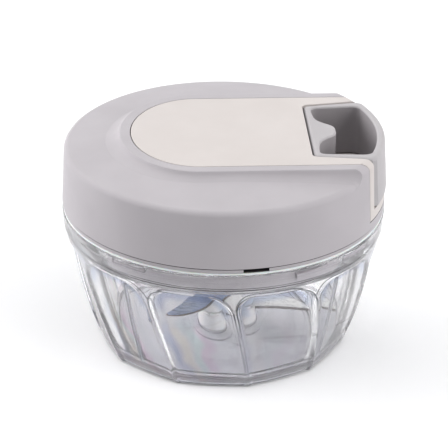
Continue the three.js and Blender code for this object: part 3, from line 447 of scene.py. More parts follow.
class Graph:
    """Node graph of a material or the world."""

    def __init__(self, tree: bpy.types.NodeTree) -> None:
        """Empty the tree and start afresh."""
        self.tree = tree
        self.tree.nodes.clear()

    def node(
        self, kind: str, settings: dict[str, object] | None = None,
        inputs: dict[str | int, Value] | None = None, output: str | int = 0,
    ) -> Wire:
        """Add a node.

        Args:
            kind: Type name of the node.
            settings: Properties to set on it.
            inputs: Values or wires for its input sockets.
            output: Output socket to return.

        Returns:
            The chosen output.
        """
        made = self.tree.nodes.new(kind)
        for name, value in (settings or {}).items():
            setattr(made, name, value)
        for name, value in (inputs or {}).items():
            if isinstance(value, Wire):
                self.tree.links.new(value.socket, made.inputs[name])
            else:
                made.inputs[name].default_value = value
        return Wire(self, made.outputs[output] if len(made.outputs) else None)

    def math(self, operation: str, first: Value, second: Value = 0.0) -> Wire:
        """Work out a number from two values or wires."""
        return self.node("ShaderNodeMath", {"operation": operation}, {0: first, 1: second})

    def mixed(self, share: Value, first: Value, second: Value) -> Wire:
        """Mix two colours by the share of the second."""
        return self.node("ShaderNodeMix", {"data_type": "RGBA"}, {0: share, 6: first, 7: second}, 2)

    def layered(self, share: Value, first: Wire, second: Wire) -> Wire:
        """Mix two shaders by the share of the second."""
        return self.node("ShaderNodeMixShader", {}, {0: share, 1: first, 2: second})

    def coloured(self, kind: str, colour: Value) -> Wire:
        """Add a shader that needs a colour alone."""
        return self.node(kind, {}, {"Color": colour})

    def principled(self, colour: Value, rough: Value, normal: Wire, others: dict[str, Value]) -> Wire:
        """Add a Principled shader with other values for its sockets."""
        inputs = {"Base Color": colour, "Roughness": rough, "Normal": normal, **others}
        return self.node("ShaderNodeBsdfPrincipled", {}, inputs)

    def ray(self, kind: str) -> Wire:
        """Return what the Light Path node says about a ray."""
        return self.node("ShaderNodeLightPath", output=kind)

    def scaled(self, vector: Wire, scale: Sequence[float]) -> Wire:
        """Stretch a vector along its axes."""
        return self.node("ShaderNodeVectorMath", {"operation": "MULTIPLY"}, {0: vector, 1: scale})

    def place(self, scale: Sequence[float] = (1.0, 1.0, 1.0)) -> Wire:
        """Return the place on the piece, in metres, stretched along its axes."""
        return self.scaled(self.node("ShaderNodeTexCoord", output="Object"), scale)

    def spot(self) -> list[Wire]:
        """Return the three parts of the place on the piece, in millimetres."""
        place = self.place((1 / MM, 1 / MM, 1 / MM))
        return [self.node("ShaderNodeSeparateXYZ", {}, {"Vector": place}, axis) for axis in "XYZ"]

    def noise(self, size: float, detail: float = 2.0, vector: Wire | None = None) -> Wire:
        """Return soft noise between 0 and 1, in patches of a size in millimetres."""
        inputs = {"Vector": vector or self.place(), "Scale": 1 / (size * MM), "Detail": detail}
        return self.node("ShaderNodeTexNoise", {}, inputs)

    def ranged(self, value: Value, low: float, high: float, start: float = 0.0, end: float = 1.0) -> Wire:
        """Map the range from low to high softly onto the one from start to end, and clamp it."""
        inputs = {"Value": value, "From Min": low, "From Max": high, "To Min": start, "To Max": end}
        return self.node("ShaderNodeMapRange", {"interpolation_type": "SMOOTHSTEP"}, inputs)

    def hump(self, value: Wire, edges: Edges, top: float) -> Wire:
        """Return a share that rises to the top between two edges and falls between the other two."""
        return self.ranged(value, edges[0], edges[1], 0, top) * self.ranged(value, edges[2], edges[3], 1, 0)

    def cloudy(self, size: float, detail: float, first: Value, second: Value, top: float = 1.0) -> Wire:
        """Mix clouds of the second colour into the first, with a size in millimetres."""
        return self.mixed(self.ranged(self.noise(size, detail), 0.35, 0.65, 0, top), first, second)

    def bump(self, height: Wire, depth: float) -> Wire:
        """Return a normal bent by a height between 0 and 1 and a depth in millimetres."""
        return self.node("ShaderNodeBump", {}, {"Height": height, "Distance": depth * MM, "Strength": 1.0})


# Finishes


@dataclass(frozen=True)
class Finish(ABC):
    """Look of a material."""

    name: str

    @abstractmethod
    def shade(self, graph: Graph) -> Wire:
        """Build the shader.

        Args:
            graph: Graph to build in.

        Returns:
            The shader's output.
        """

    def material(self) -> bpy.types.Material:
        """Return the material, made on first use.

        Returns:
            The material.
        """
        title = f"finish_{self.name}"
        found = bpy.data.materials.get(title)
        if found is None:
            found = bpy.data.materials.new(title)
            found.use_nodes = True
            graph = Graph(found.node_tree)
            graph.node("ShaderNodeOutputMaterial", {}, {"Surface": self.shade(graph)})
        return found


@dataclass(frozen=True)
class MouldedPlastic(Finish):
    """Satin or glossy moulded plastic with a fine grain and faint cloudiness."""

    colour: Colour
    cloud: Colour
    roughness: float = 0.5
    grain: float = 0.35
    relief: float = 0.012
    subsurface: float = 0.0
    gloss: float = 0.3

    def shade(self, graph: Graph) -> Wire:
        """Build the shader; see Finish."""
        tone = graph.cloudy(26, 3, self.colour, self.cloud)
        fleck = graph.ranged(graph.noise(0.9, 2), 0.3, 0.7, 0, 0.06)
        rough = graph.ranged(graph.noise(9, 4), 0.35, 0.65, self.roughness - 0.04, self.roughness + 0.05)
        normal = graph.bump(graph.noise(self.grain, 3), self.relief)
        return graph.principled(graph.mixed(fleck, tone, self.cloud), rough, normal, {
            "Subsurface Weight": self.subsurface, "Subsurface Scale": 0.002, "IOR": 1.49,
            "Specular IOR Level": self.gloss,
        })


@dataclass(frozen=True)
class ClearPlastic(Finish):
    """Clear moulded plastic; light loses the square root of the colour at each surface."""

    colour: Colour
    shadow: Colour
    roughness: float = 0.03
    index: float = 1.43
    thinness: float = 0.1

    def tint(self, graph: Graph) -> Wire:
        """Build the colour of the light that passes."""
        return graph.cloudy(14, 2, self.colour, self.shadow, 0.1)

    def passing(self, graph: Graph) -> Wire:
        """Build the shader that light passes on its way to a shadow."""
        return graph.coloured("ShaderNodeBsdfTransparent", self.shadow)

    def clouded(self, graph: Graph, glass: Wire) -> Wire:
        """Add cloudy places to the shader of the clear plastic; here there are none."""
        return glass

    def shade(self, graph: Graph) -> Wire:
        """Build the shader; see Finish."""
        scuffs = graph.noise(1.6, 4, graph.place((1.0, 1.0, 0.35)))
        rough = graph.ranged(scuffs, 0.45, 0.75, self.roughness, self.roughness + 0.05)
        waves = graph.bump(graph.noise(11, 1), 0.05)
        others = {"Transmission Weight": 1.0, "IOR": self.index}
        glass = graph.principled(self.tint(graph), rough, waves, others)
        share = graph.ray("Is Shadow Ray") * (1 - self.thinness) + self.thinness
        return graph.layered(share, self.clouded(graph, glass), self.passing(graph))


@dataclass(frozen=True)
class PanelledPlastic(ClearPlastic):
    """Clear plastic of the bowl: painted dark lines round its panels, a painted rainbow in them, painted
    shade on its floor and a milky floor.
    """

    bowl: "Bowl" = field(kw_only=True)
    # Painted shade: near-black for the painted lines round the panels, along the band, at the foot and
    # round the hub's seat.
    rim: Colour = (0.004, 0.005, 0.009, 1)
    # Painted reflection: grey on the rim band for the lid's grey seen in it.
    band_painted_grey: Colour = (0.62, 0.61, 0.66, 1)
    # Painted shade: a darker tone on the bowl's floor.
    floor_painted_shade: Colour = (0.68, 0.68, 0.73, 1)
    # Navy and the cream, mint and rose below are the painted rainbow of bent light; navy is also painted
    # shade near the panels' tops.
    navy: Colour = (0.42, 0.50, 0.70, 1)
    foot_shadow: Colour = (0.15, 0.15, 0.16, 1)
    cloud: Colour = (0.80, 0.79, 0.83, 1)
    cream: Colour = (1.0, 0.94, 0.80, 1)
    mint: Colour = (0.72, 0.96, 0.86, 1)
    rose: Colour = (0.95, 0.68, 0.82, 1)
    # Widths and edges of painted lines: the panels' outlines, a painted shadow at the foot's bottom, a
    # painted line at the floor's ledge, a painted shadow round the hub's seat and a painted contact shadow;
    # milk gives the milky floor.
    rim_width: float = 0.22
    foot_painted_shadow: Edges = (0.02, 0.1, 0.85, 1.1)
    ledge_painted_line: Edges = (3.4, 3.55, 3.85, 4.05)
    hub_painted_shadow: Edges = (8.3, 8.5, 9.0, 9.2)
    contact_painted_shadow: Edges = (0.02, 0.1, 0.6, 0.85)
    milk: Edges = (1.1, 1.4, 3.4, 4.4)

    def _rainbow(self, graph: Graph, across: Wire, depth: Wire) -> Wire:
        """Build the painted colours of bent light beside each panel's left edge, with painted shade near
        the tops and foot.

        Args:
            graph: Graph to build in.
            across: Place between the ridges, from 0 at the left one to 1.
            depth: Distance inside the panel's outline in millimetres.

        Returns:
            The colour.
        """
        x, _y, z = graph.spot()
        spread = across + graph.ranged(graph.noise(17, 1), 0.3, 0.7, -0.12, 0.12) + z * 0.004
        side = graph.ranged(x, -20, 10, 1, 0.2)
        low = graph.ranged(z, 22, 36, 1, 0) * graph.ranged(z, 1, 4, 0.3, 1) * side
        colour = super().tint(graph)
        # Painted rainbow of bent light: navy, a cream highlight, mint and rose, stronger on the bowl's left
        # side.
        for edges, top, hue in (
            ((0.08, 0.17, 0.2, 0.3), 0.6, self.navy), ((0.22, 0.3, 0.34, 0.44), 0.9, self.cream),
            ((0.4, 0.46, 0.5, 0.56), 0.55, self.mint), ((0.52, 0.58, 0.6, 0.72), 0.65, self.rose),
        ):
            colour = graph.mixed(graph.hump(spread, edges, top) * low, colour, hue)
        # Painted shade: a navy crescent just inside the panels' tops, and a rose tint near the foot.
        crown = graph.hump(depth, (0.9, 2.0, 3.0, 6.0), 0.65) * graph.ranged(z, 33, 38)
        colour = graph.mixed(crown, colour, self.navy)
        return graph.mixed(graph.hump(z, (1.5, 2.5, 4.0, 7.0), 0.4) * side, colour, self.rose)

    def tint(self, graph: Graph) -> Wire:
        """Build the colour of the light that passes, with painted dark lines, painted grey and painted
        shade.

        Args:
            graph: Graph to build in.

        Returns:
            The colour.
        """
        bowl = self.bowl
        foot = bowl.foot_radius
        band = bowl.band_bottom
        x, y, z = graph.spot()
        radius = (x * x + y * y) ** 0.5
        rise = graph.math("MINIMUM", z / bowl.panel_top, 1.0) * math.radians(bowl.swirl)
        bearing = graph.math("ARCTAN2", y, x) - math.radians(bowl.first_ridge) + rise
        from_ridge = graph.math("PINGPONG", bearing, math.pi / bowl.panels)
        across = graph.math("FRACT", bearing * (bowl.panels / TURN))
        beside = (bowl.half_ridge - from_ridge) * radius + bowl.panel_corner
        above = z - bowl.panel_top + bowl.panel_corner
        right = graph.math("MAXIMUM", beside)
        over = graph.math("MAXIMUM", above)
        inside = graph.math("MINIMUM", graph.math("MAXIMUM", beside, above))
        depth = bowl.panel_corner - (right * right + over * over) ** 0.5 - inside
        # Painted shade: near-black lines follow the panels' outlines, fainter low down.
        outline = graph.hump(depth, (-0.3, -0.15, self.rim_width, self.rim_width + 0.2), 1.0)
        fade = graph.ranged(graph.noise(22, 1), 0.35, 0.6, 0.6, 1.0) * graph.ranged(z, 26, 38, 0.3, 1)
        lines = outline * fade * graph.ranged(radius, foot - 7, foot - 5)
        # Painted shade: dark lines at the band's lower edge and the floor's ledge, and painted contact
        # shadows at the foot's bottom and round the hub's seat.
        for line in (
            graph.hump(z, (band - 0.5, band - 0.4, band - 0.05, band + 0.1), 0.98),
            graph.hump(z, self.foot_painted_shadow, 0.985) * graph.ranged(radius, foot - 3, foot - 2),
            graph.hump(radius, self.hub_painted_shadow, 0.9) * graph.ranged(z, 2.6, 3.0),
            graph.hump(z, self.ledge_painted_line, 0.7) * graph.ranged(radius, foot - 2.6, foot - 2.4),
        ):
            lines = graph.math("MAXIMUM", lines, line)
        # Painted reflection: the rim band turns grey.
        high = graph.ranged(z, band, band + 0.4, 0, 0.28)
        plain = graph.mixed(high, self._rainbow(graph, across, depth), self.band_painted_grey)
        # Painted shade: the bowl's floor turns darker.
        plain = graph.mixed(graph.ranged(radius, foot - 6, foot - 2, 1, 0), plain, self.floor_painted_shade)
        return graph.mixed(lines, plain, self.rim)

    def passing(self, graph: Graph) -> Wire:
        """Build the shader that light passes on its way to a shadow, dark at the thick foot.

        Args:
            graph: Graph to build in.

        Returns:
            The shader.
        """
        foot = self.bowl.foot_radius
        x, y, z = graph.spot()
        low = graph.ranged(z, 1, 7, 1, 0) * graph.ranged((x * x + y * y) ** 0.5, foot - 4, foot - 2.5)
        thick = graph.coloured("ShaderNodeBsdfTransparent", self.foot_shadow)
        return graph.layered(low, super().passing(graph), thick)

    def clouded(self, graph: Graph, glass: Wire) -> Wire:
        """Add a milky floor and a painted contact shadow, a dark line right above the table.

        Args:
            graph: Graph to build in.
            glass: Shader of the clear plastic.

        Returns:
            The shader.
        """
        foot = self.bowl.foot_radius
        x, y, z = graph.spot()
        outside = graph.ranged((x * x + y * y) ** 0.5, foot - 3.4, foot - 3)
        cloud = graph.coloured("ShaderNodeBsdfDiffuse", self.cloud)
        dark = graph.coloured("ShaderNodeBsdfDiffuse", self.rim)
        milky = graph.layered(graph.hump(z, self.milk, 0.18), glass, cloud)
        # Painted shadow: a dark band at the foot's bottom edge, right above the table.
        return graph.layered(graph.hump(z, self.contact_painted_shadow, 0.8) * outside, milky, dark)


@dataclass(frozen=True)
class BrushedSteel(Finish):
    """Steel with fine lines along its grinding."""

    colour: Colour
    shade_colour: Colour
    roughness: float = 0.22
    lines: tuple[float, float, float] = (1.0, 14.0, 14.0)
    metal: float = 1.0
    grain: float = 0.01

    def shade(self, graph: Graph) -> Wire:
        """Build the shader; see Finish."""
        streaks = graph.noise(6, 4, graph.place(self.lines))
        colour = graph.cloudy(12, 2, self.colour, self.shade_colour)
        rough = graph.ranged(streaks, 0.35, 0.65, self.roughness - 0.04, self.roughness + 0.06)
        return graph.principled(colour, rough, graph.bump(streaks, self.grain), {"Metallic": self.metal})


@dataclass(frozen=True)
class SoftSilicone(Finish):
    """Cloudy soft silicone rubber."""

    colour: Colour
    cloud: Colour

    def shade(self, graph: Graph) -> Wire:
        """Build the shader; see Finish."""
        dust = graph.noise(0.5, 2)
        colour = graph.cloudy(7, 3, self.colour, self.cloud)
        rough = graph.ranged(dust, 0.3, 0.7, 0.45, 0.65)
        others = {"Subsurface Weight": 0.25, "Subsurface Scale": 0.003}
        return graph.principled(colour, rough, graph.bump(dust, 0.01), others)


@dataclass(frozen=True)
class BraidedCord(Finish):
    """Braided cord with crossing strands and painted shade between them."""

    colour: Colour
    gap: Colour
    strand: float = 1.1

    def shade(self, graph: Graph) -> Wire:
        """Build the shader; see Finish."""
        here = graph.node("ShaderNodeNewGeometry", output="Position")
        parts = []
        for direction in ((1.0, 1.0, 1.0), (1.0, -1.0, -1.0)):
            inputs = {"Vector": graph.scaled(here, direction), "Scale": 1 / (self.strand * MM) / 6}
            parts.append(graph.node("ShaderNodeTexWave", {"bands_direction": "DIAGONAL"}, inputs, "Fac"))
        weave = parts[0] * parts[1]
        # Painted shade: the crevices between the strands take the darker gap colour.
        colour = graph.mixed(graph.ranged(weave, 0.0, 0.35), self.gap, self.colour)
        rough = graph.ranged(weave, 0, 1, 0.9, 0.7)
        return graph.principled(colour, rough, graph.bump(weave, 0.12), {"Sheen Weight": 0.3})


@dataclass(frozen=True)
class StudioFloor(Finish):
    """Plain pale floor that throws back less light than it shows, dark to both sides for bent light."""

    seen: Colour
    bounced: Colour
    beside: Colour
    lane: tuple[float, float] = (80.0, 130.0)

    def shade(self, graph: Graph) -> Wire:
        """Build the shader; see Finish."""
        aside = graph.math("ABSOLUTE", graph.spot()[0])
        far = graph.ranged(aside, *self.lane) * graph.ray("Is Transmission Ray")
        lit = graph.mixed(graph.ray("Is Diffuse Ray"), self.seen, self.bounced)
        return graph.coloured("ShaderNodeBsdfDiffuse", graph.mixed(far, lit, self.beside))


LID_GREY = MouldedPlastic("lid_grey", (0.455, 0.43, 0.45, 1), (0.435, 0.41, 0.43, 1), 0.5)
GRIP_GREY = MouldedPlastic("grip_grey", (0.45, 0.43, 0.44, 1), (0.43, 0.41, 0.42, 1), 0.5)
# Painted shade: a darker copy of the grip's grey for the walls of its finger hole.
GRIP_HOLE_SHADE = MouldedPlastic("grip_hole_shade", (0.33, 0.31, 0.32, 1), (0.30, 0.28, 0.295, 1), 0.55)
PANEL_PALE = MouldedPlastic("panel_pale", (0.60, 0.555, 0.535, 1), (0.58, 0.535, 0.515, 1), 0.42)
# Painted shade: near-black plastic for faces in gaps, in the notch and under the cover, where only shade
# falls.
GAP_PAINTED_SHADE = MouldedPlastic("gap_painted_shade", (0.02, 0.018, 0.02, 1), (0.03, 0.028, 0.03, 1), 0.8)
HUB_WHITE = MouldedPlastic("hub_white", (0.62, 0.61, 0.60, 1), (0.56, 0.56, 0.57, 1), 0.35, 0.5, 0.006, 0.1)
INNER_PLASTIC = MouldedPlastic(
    "inner_plastic", (0.72, 0.72, 0.71, 1), (0.66, 0.66, 0.65, 1), 0.45, 0.5, 0.015
)
# Painted shade: a darker copy of the bowl's clear plastic for the inner ribs.
RIB_PAINTED_SHADE = ClearPlastic("rib_painted_shade", (0.30, 0.30, 0.34, 1), (0.8, 0.8, 0.81, 1))
# Painted reflection: steel tinted blue for the surroundings that the middle blade reflects.
BLADE_REFLECTED_BLUE = BrushedSteel(
    "blade_reflected_blue", (0.30, 0.40, 0.62, 1), (0.22, 0.31, 0.52, 1), 0.3, metal=0.7, grain=0.002
)
BLADE_STEEL = BrushedSteel(
    "blade_steel", (0.80, 0.80, 0.78, 1), (0.72, 0.72, 0.72, 1), 0.3, metal=0.6, grain=0.002
)
# Painted shade: dark brown for the blades' blunt backs and ground edges.
BLADE_EDGE_SHADE = BrushedSteel("blade_edge_shade", (0.12, 0.08, 0.07, 1), (0.08, 0.06, 0.055, 1), 0.4)
PLAIN_STEEL = BrushedSteel(
    "plain_steel", (0.60, 0.60, 0.62, 1), (0.50, 0.50, 0.52, 1), 0.3, (14.0, 14.0, 1.0)
)
SEAL_WHITE = SoftSilicone("seal_white", (0.90, 0.90, 0.89, 1), (0.84, 0.84, 0.83, 1))
CORD_WHITE = BraidedCord("cord_white", (0.82, 0.80, 0.75, 1), (0.45, 0.43, 0.40, 1))
FLOOR_WHITE = StudioFloor(
    "floor_white", (0.98, 0.98, 0.985, 1), (0.50, 0.50, 0.51, 1), (0.35, 0.35, 0.38, 1)
)


class Workshop:
    """Turns solids into finished pieces."""

    def piece(
        self, name: str, solid: Solid, finish: Finish, slot: str, part: Part | None, nodes: Sequence[str],
        crease: float = 32.0,
    ) -> bpy.types.Object:
        """Make a piece that stands for CAD nodes.

        Args:
            name: Name of the piece.
            solid: Its shape in millimetres.
            finish: Its finish.
            slot: Not used.
            part: Body that it rides on, or none to leave it unattached.
            nodes: CAD nodes that it stands for.
            crease: Angle in degrees above which an edge is sharp.

        Returns:
            The piece.
        """
        mesh = solid.mesh
        mesh.transform(Matrix.Scale(MM, 4))
        mesh.name = name
        mesh.shade_smooth()
        mesh.set_sharp_from_angle(angle=math.radians(crease))
        mesh.materials.clear()
        mesh.materials.append(finish.material())
        piece = linked(bpy.data.objects.new(name, mesh))
        weighted = piece.modifiers.new("even_shading", "WEIGHTED_NORMAL")
        weighted.keep_sharp = True
        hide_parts(*nodes)
        if part is not None:
            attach(piece, part.value)
        log.info("built %s with %d faces", name, len(mesh.polygons))
        return piece

    def paint(self, piece: bpy.types.Object, finish: Finish, chosen: Callable[[Vector], bool]) -> None:
        """Give some faces of a piece another finish.

        Args:
            piece: Piece to paint.
            finish: Finish for the chosen faces.
            chosen: Tells from a face's middle, in millimetres, whether it is painted.
        """
        piece.data.materials.append(finish.material())
        index = len(piece.data.materials) - 1
        for polygon in piece.data.polygons:
            if chosen(polygon.center / MM):
                polygon.material_index = index

    def dress(self, finishes: dict[Finish, Sequence[str]]) -> None:
        """Give kept CAD nodes their finishes.

        Args:
            finishes: Finish for each group of nodes.
        """
        for finish, names in finishes.items():
            for name in names:
                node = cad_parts[name]
                if not node.material_slots:
                    node.data.materials.append(finish.material())
                for material_slot in node.material_slots:
                    material_slot.material = finish.material()
                log.info("dressed %s in %s", name, finish.name)


class Assembly(ABC):
    """Group of pieces that is built together."""

    @abstractmethod
    def build(self, shop: Workshop) -> None:
        """Build the pieces.

        Args:
            shop: Workshop that finishes them.
        """


# The bowl


@dataclass(frozen=True)
class Bowl(Assembly):
    """Clear bowl with leaning arched panels, a plain rim band, inner ribs and bayonet lugs."""

    height: float = 55.3
    rim_radius: float = 62.5
    band_height: float = 6.2
    band_taper: float = 0.4
    band_step: float = 0.3
    foot_radius: float = 48.5
    foot_edge: float = 1.8
    foot_inset: float = 1.3
    floor: float = 3.2
    floor_fillet: float = 4.0
    wall: float = 1.7
    lip_depth: float = 9.1
    lip_step: float = 2.9
    lip_top_radius: float = 60.6
    panels: int = 11
    panel_steps: int = 56
    panel_top_drop: float = 3.3
    panel_corner: float = 8.8
    panel_depth: float = 0.7
    panel_edge: float = 1.4
    foot_round: float = 0.6
    foot_blend: float = 12.0
    ridge: float = 0.9
    first_ridge: float = -81.0
    swirl: float = 9.5
    bulge: float = 0.3
    bulge_power: float = 3.0
    ribs: int = 4
    rib_depth: float = 1.6
    rib_width: float = 1.4
    rib_draft: float = 0.2
    rib_turn: float = 1.5
    rib_drop: float = 7.5
    first_rib: float = -43.7
    lug_count: int = 4
    lug_width: float = 14.0
    lug_height: float = 1.8
    lug_drop: float = 3.5
    lug_inner: float = 58.0
    lug_outer: float = 60.9
    lug_middle: float = -39.0
    recess: float = 0.8
    recess_inner: float = 12.0
    recess_margin: float = 6.0
    boss: float = 5.1
    boss_low: float = 1.5
    boss_shoulder: float = 5.9
    boss_round: float = 0.6
    socket: float = 2.5
    socket_top: float = 9.0

    @property
    def band_bottom(self) -> float:
        """Height of the lower edge of the rim band."""
        return self.height - self.band_height

    @property
    def panel_top(self) -> float:
        """Height of the panels' tops."""
        return self.band_bottom - self.panel_top_drop

    @property
    def body_top_radius(self) -> float:
        """Radius of the body under the rim band."""
        return self.rim_radius - self.band_taper - self.band_step

    @property
    def half_ridge(self) -> float:
        """Half a ridge's width as an angle."""
        return self.ridge / 2 / self.foot_radius

    @property
    def panel_half(self) -> float:
        """Half a panel's width as an angle."""
        return math.pi / self.panels - self.half_ridge

    def body_radius(self, z: float) -> float:
        """Return the outer radius of the body at a height, before its panels.

        Args:
            z: Height.

        Returns:
            The radius.
        """
        share = min(z / self.band_bottom, 1.0)
        rise = (1 - self.bulge) * share + self.bulge * (1 - (1 - share) ** self.bulge_power)
        return lerp(self.foot_radius, self.body_top_radius, rise)

    def side_radius(self, angle: float, z: float) -> float:
        """Return the outer radius with the panels pressed in.

        Args:
            angle: Angle from the panel's middle.
            z: Height.

        Returns:
            The radius.
        """
        full = self.body_radius(z)
        beside = abs(angle) * full - self.panel_half * full + self.panel_corner
        above = z - self.panel_top + self.panel_corner
        outside = math.hypot(max(beside, 0.0), max(above, 0.0)) + min(max(beside, above), 0.0)
        press = smooth((self.panel_corner - outside) / self.panel_edge)
        pressed = full - self.panel_depth
        flat = pressed * math.cos(self.panel_half) / math.cos(angle)
        near_foot = smooth((self.foot_blend - z) / self.foot_blend) * self.foot_round
        return lerp(full, min(lerp(flat, pressed, near_foot), full), press)

    def inner_radius(self, z: float) -> float:
        """Return the radius of the round inner wall at a height."""
        return (self.body_radius(z) - self.panel_depth) * math.cos(self.panel_half) - self.wall

    def _outer_ring(self, z: float, radius: float | None = None, inset: float = 0.0) -> list[Point]:
        """Return one ring of the outside.

        Args:
            z: Height.
            radius: Radius of a round ring; without it the ring follows the panels.
            inset: Distance inwards from the panels.

        Returns:
            The ring.
        """
        lean = math.radians(self.first_ridge - self.swirl * min(z / self.panel_top, 1.0))
        ring: list[Point] = []
        for panel in range(self.panels):
            for step in range(self.panel_steps):
                angle = (2 * step / self.panel_steps - 1) * math.pi / self.panels
                reach = radius or self.side_radius(angle, z) - inset
                ring.append(polar(reach, lean + (panel + 0.5) * TURN / self.panels + angle, z))
        return ring

    def _shell(self) -> Solid:
        """Return the bowl's outside as a solid body.

        Returns:
            The body.
        """
        levels = [0.0, 0.25, 0.6, 1.1, 1.8, 2.8, 4.2, 6, 8, 11, 14, 17, 20, 23, 26, 29, 32, 34.5]
        levels += [levels[-1] + 0.45 * step for step in range(1, 28)]
        rings = []
        for z in levels:
            up = min(z / self.foot_edge, 1.0)
            rings.append(self._outer_ring(z, inset=self.foot_inset * (1 - math.sqrt(1 - (1 - up) ** 2))))
        low = self.band_bottom
        body = self.body_top_radius
        band = self.rim_radius - self.band_taper
        slope = self.band_taper / self.band_height
        rings += [self._outer_ring(low - 0.3, body), self._outer_ring(low - 0.05, body + 0.12)]
        for inset, rise in ((0.45, 0.0), (0.15, 0.1), (0.0, 0.35)):
            rings.append(self._outer_ring(low + rise, band - inset + slope * rise))
        for inset, drop in ((0.0, 0.5), (0.1, 0.2), (0.35, 0.03), (0.5, 0.0)):
            rings.append(self._outer_ring(self.height - drop, self.rim_radius - slope * drop - inset))
        return Solid.loft(rings)

    def _hollow(self) -> Solid:
        """Return the space inside the bowl.

        Returns:
            The space.
        """
        lip_bottom = self.height - self.lip_depth
        profile: Profile = [(0.0, self.floor)]
        for turn in right_angle(10):
            z = self.floor + self.floor_fillet * (1 - math.cos(turn))
            profile.append((self.inner_radius(z) - self.floor_fillet * (1 - math.sin(turn)), z))
        z = self.floor + self.floor_fillet + 1.0
        while z < lip_bottom:
            profile.append((self.inner_radius(z), z))
            z += 2.0
        lip = self.body_radius(lip_bottom) - self.lip_step
        mouth = self.lip_top_radius + 0.2
        profile += [(self.inner_radius(lip_bottom), lip_bottom), (lip, lip_bottom + 0.3)]
        profile += [(self.lip_top_radius, self.height - 0.2), (mouth, self.height)]
        profile += [(mouth, self.height + OVERRUN), (0.0, self.height + OVERRUN)]
        return Solid.lathe(profile, 320)

    def _rib(self) -> Solid:
        """Return one rib of the inner wall, along +X.

        Returns:
            The rib.
        """
        half = self.rib_width / 2
        drop = self.band_bottom - self.rib_drop
        rings = []
        for z in (self.floor - 0.8, 12.0, 20.0, 28.0, 36.0, drop - 0.4, drop + 0.4):
            outer = self.inner_radius(z) + self.wall / 2
            inner = self.inner_radius(z) - self.rib_depth + (0.0 if z < drop else 0.6)
            root = half + self.rib_draft
            plan = [(inner + 0.3, -half), (outer, -root), (outer, root), (inner + 0.3, half), (inner, 0)]
            rings.append([(x, y, z) for x, y in plan])
        return Solid.loft(rings)

    def _on_rib(self, middle: Vector) -> bool:
        """Tell whether a face lies on an inner rib, where shade is painted.

        Args:
            middle: Middle of the face in millimetres.

        Returns:
            Whether it does.
        """
        bearing = math.degrees(math.atan2(middle.y, middle.x)) - self.first_rib
        beside = abs((bearing + 45) % 90 - 45)
        proud = math.hypot(middle.x, middle.y) < self.inner_radius(middle.z) - 0.25
        return proud and beside < self.rib_turn and self.floor + 1 < middle.z < self.band_bottom

    def build(self, shop: Workshop) -> None:
        """Build the bowl; see Assembly."""
        recess_outer = self.foot_radius - self.recess_margin
        recess = Solid.ring(self.recess_inner, recess_outer, -OVERRUN, self.recess)
        shoulder = quarter(self.boss, self.boss_shoulder, self.boss_round, 5)
        boss = Solid.lathe([(self.boss, self.boss_low), *shoulder], 96)
        socket = Solid.rod(self.socket, self.boss_low, self.socket_top, 64)
        low = self.height - self.lug_drop
        half = self.lug_width / 2
        lug = Solid.sector(
            self.lug_inner, self.lug_outer, low, low + self.lug_height, self.lug_middle - half,
            self.lug_middle + half,
        )
        ribs = self._rib().around(self.ribs, self.first_rib)
        body = cut(self._shell(), [self._hollow(), recess])
        body = joined(body, [boss, *ribs, *lug.around(self.lug_count)]) - socket
        finish = PanelledPlastic("bowl_clear", (0.985, 0.985, 0.99, 1), (0.88, 0.88, 0.885, 1), bowl=self)
        bowl = shop.piece("bowl_clear_body", body, finish, "clear", Part.BOWL, ["bowl"], 40)
        # Painted shade: the inner ribs get the darker clear plastic.
        shop.paint(bowl, RIB_PAINTED_SHADE, self._on_rib)


# Blades and hub


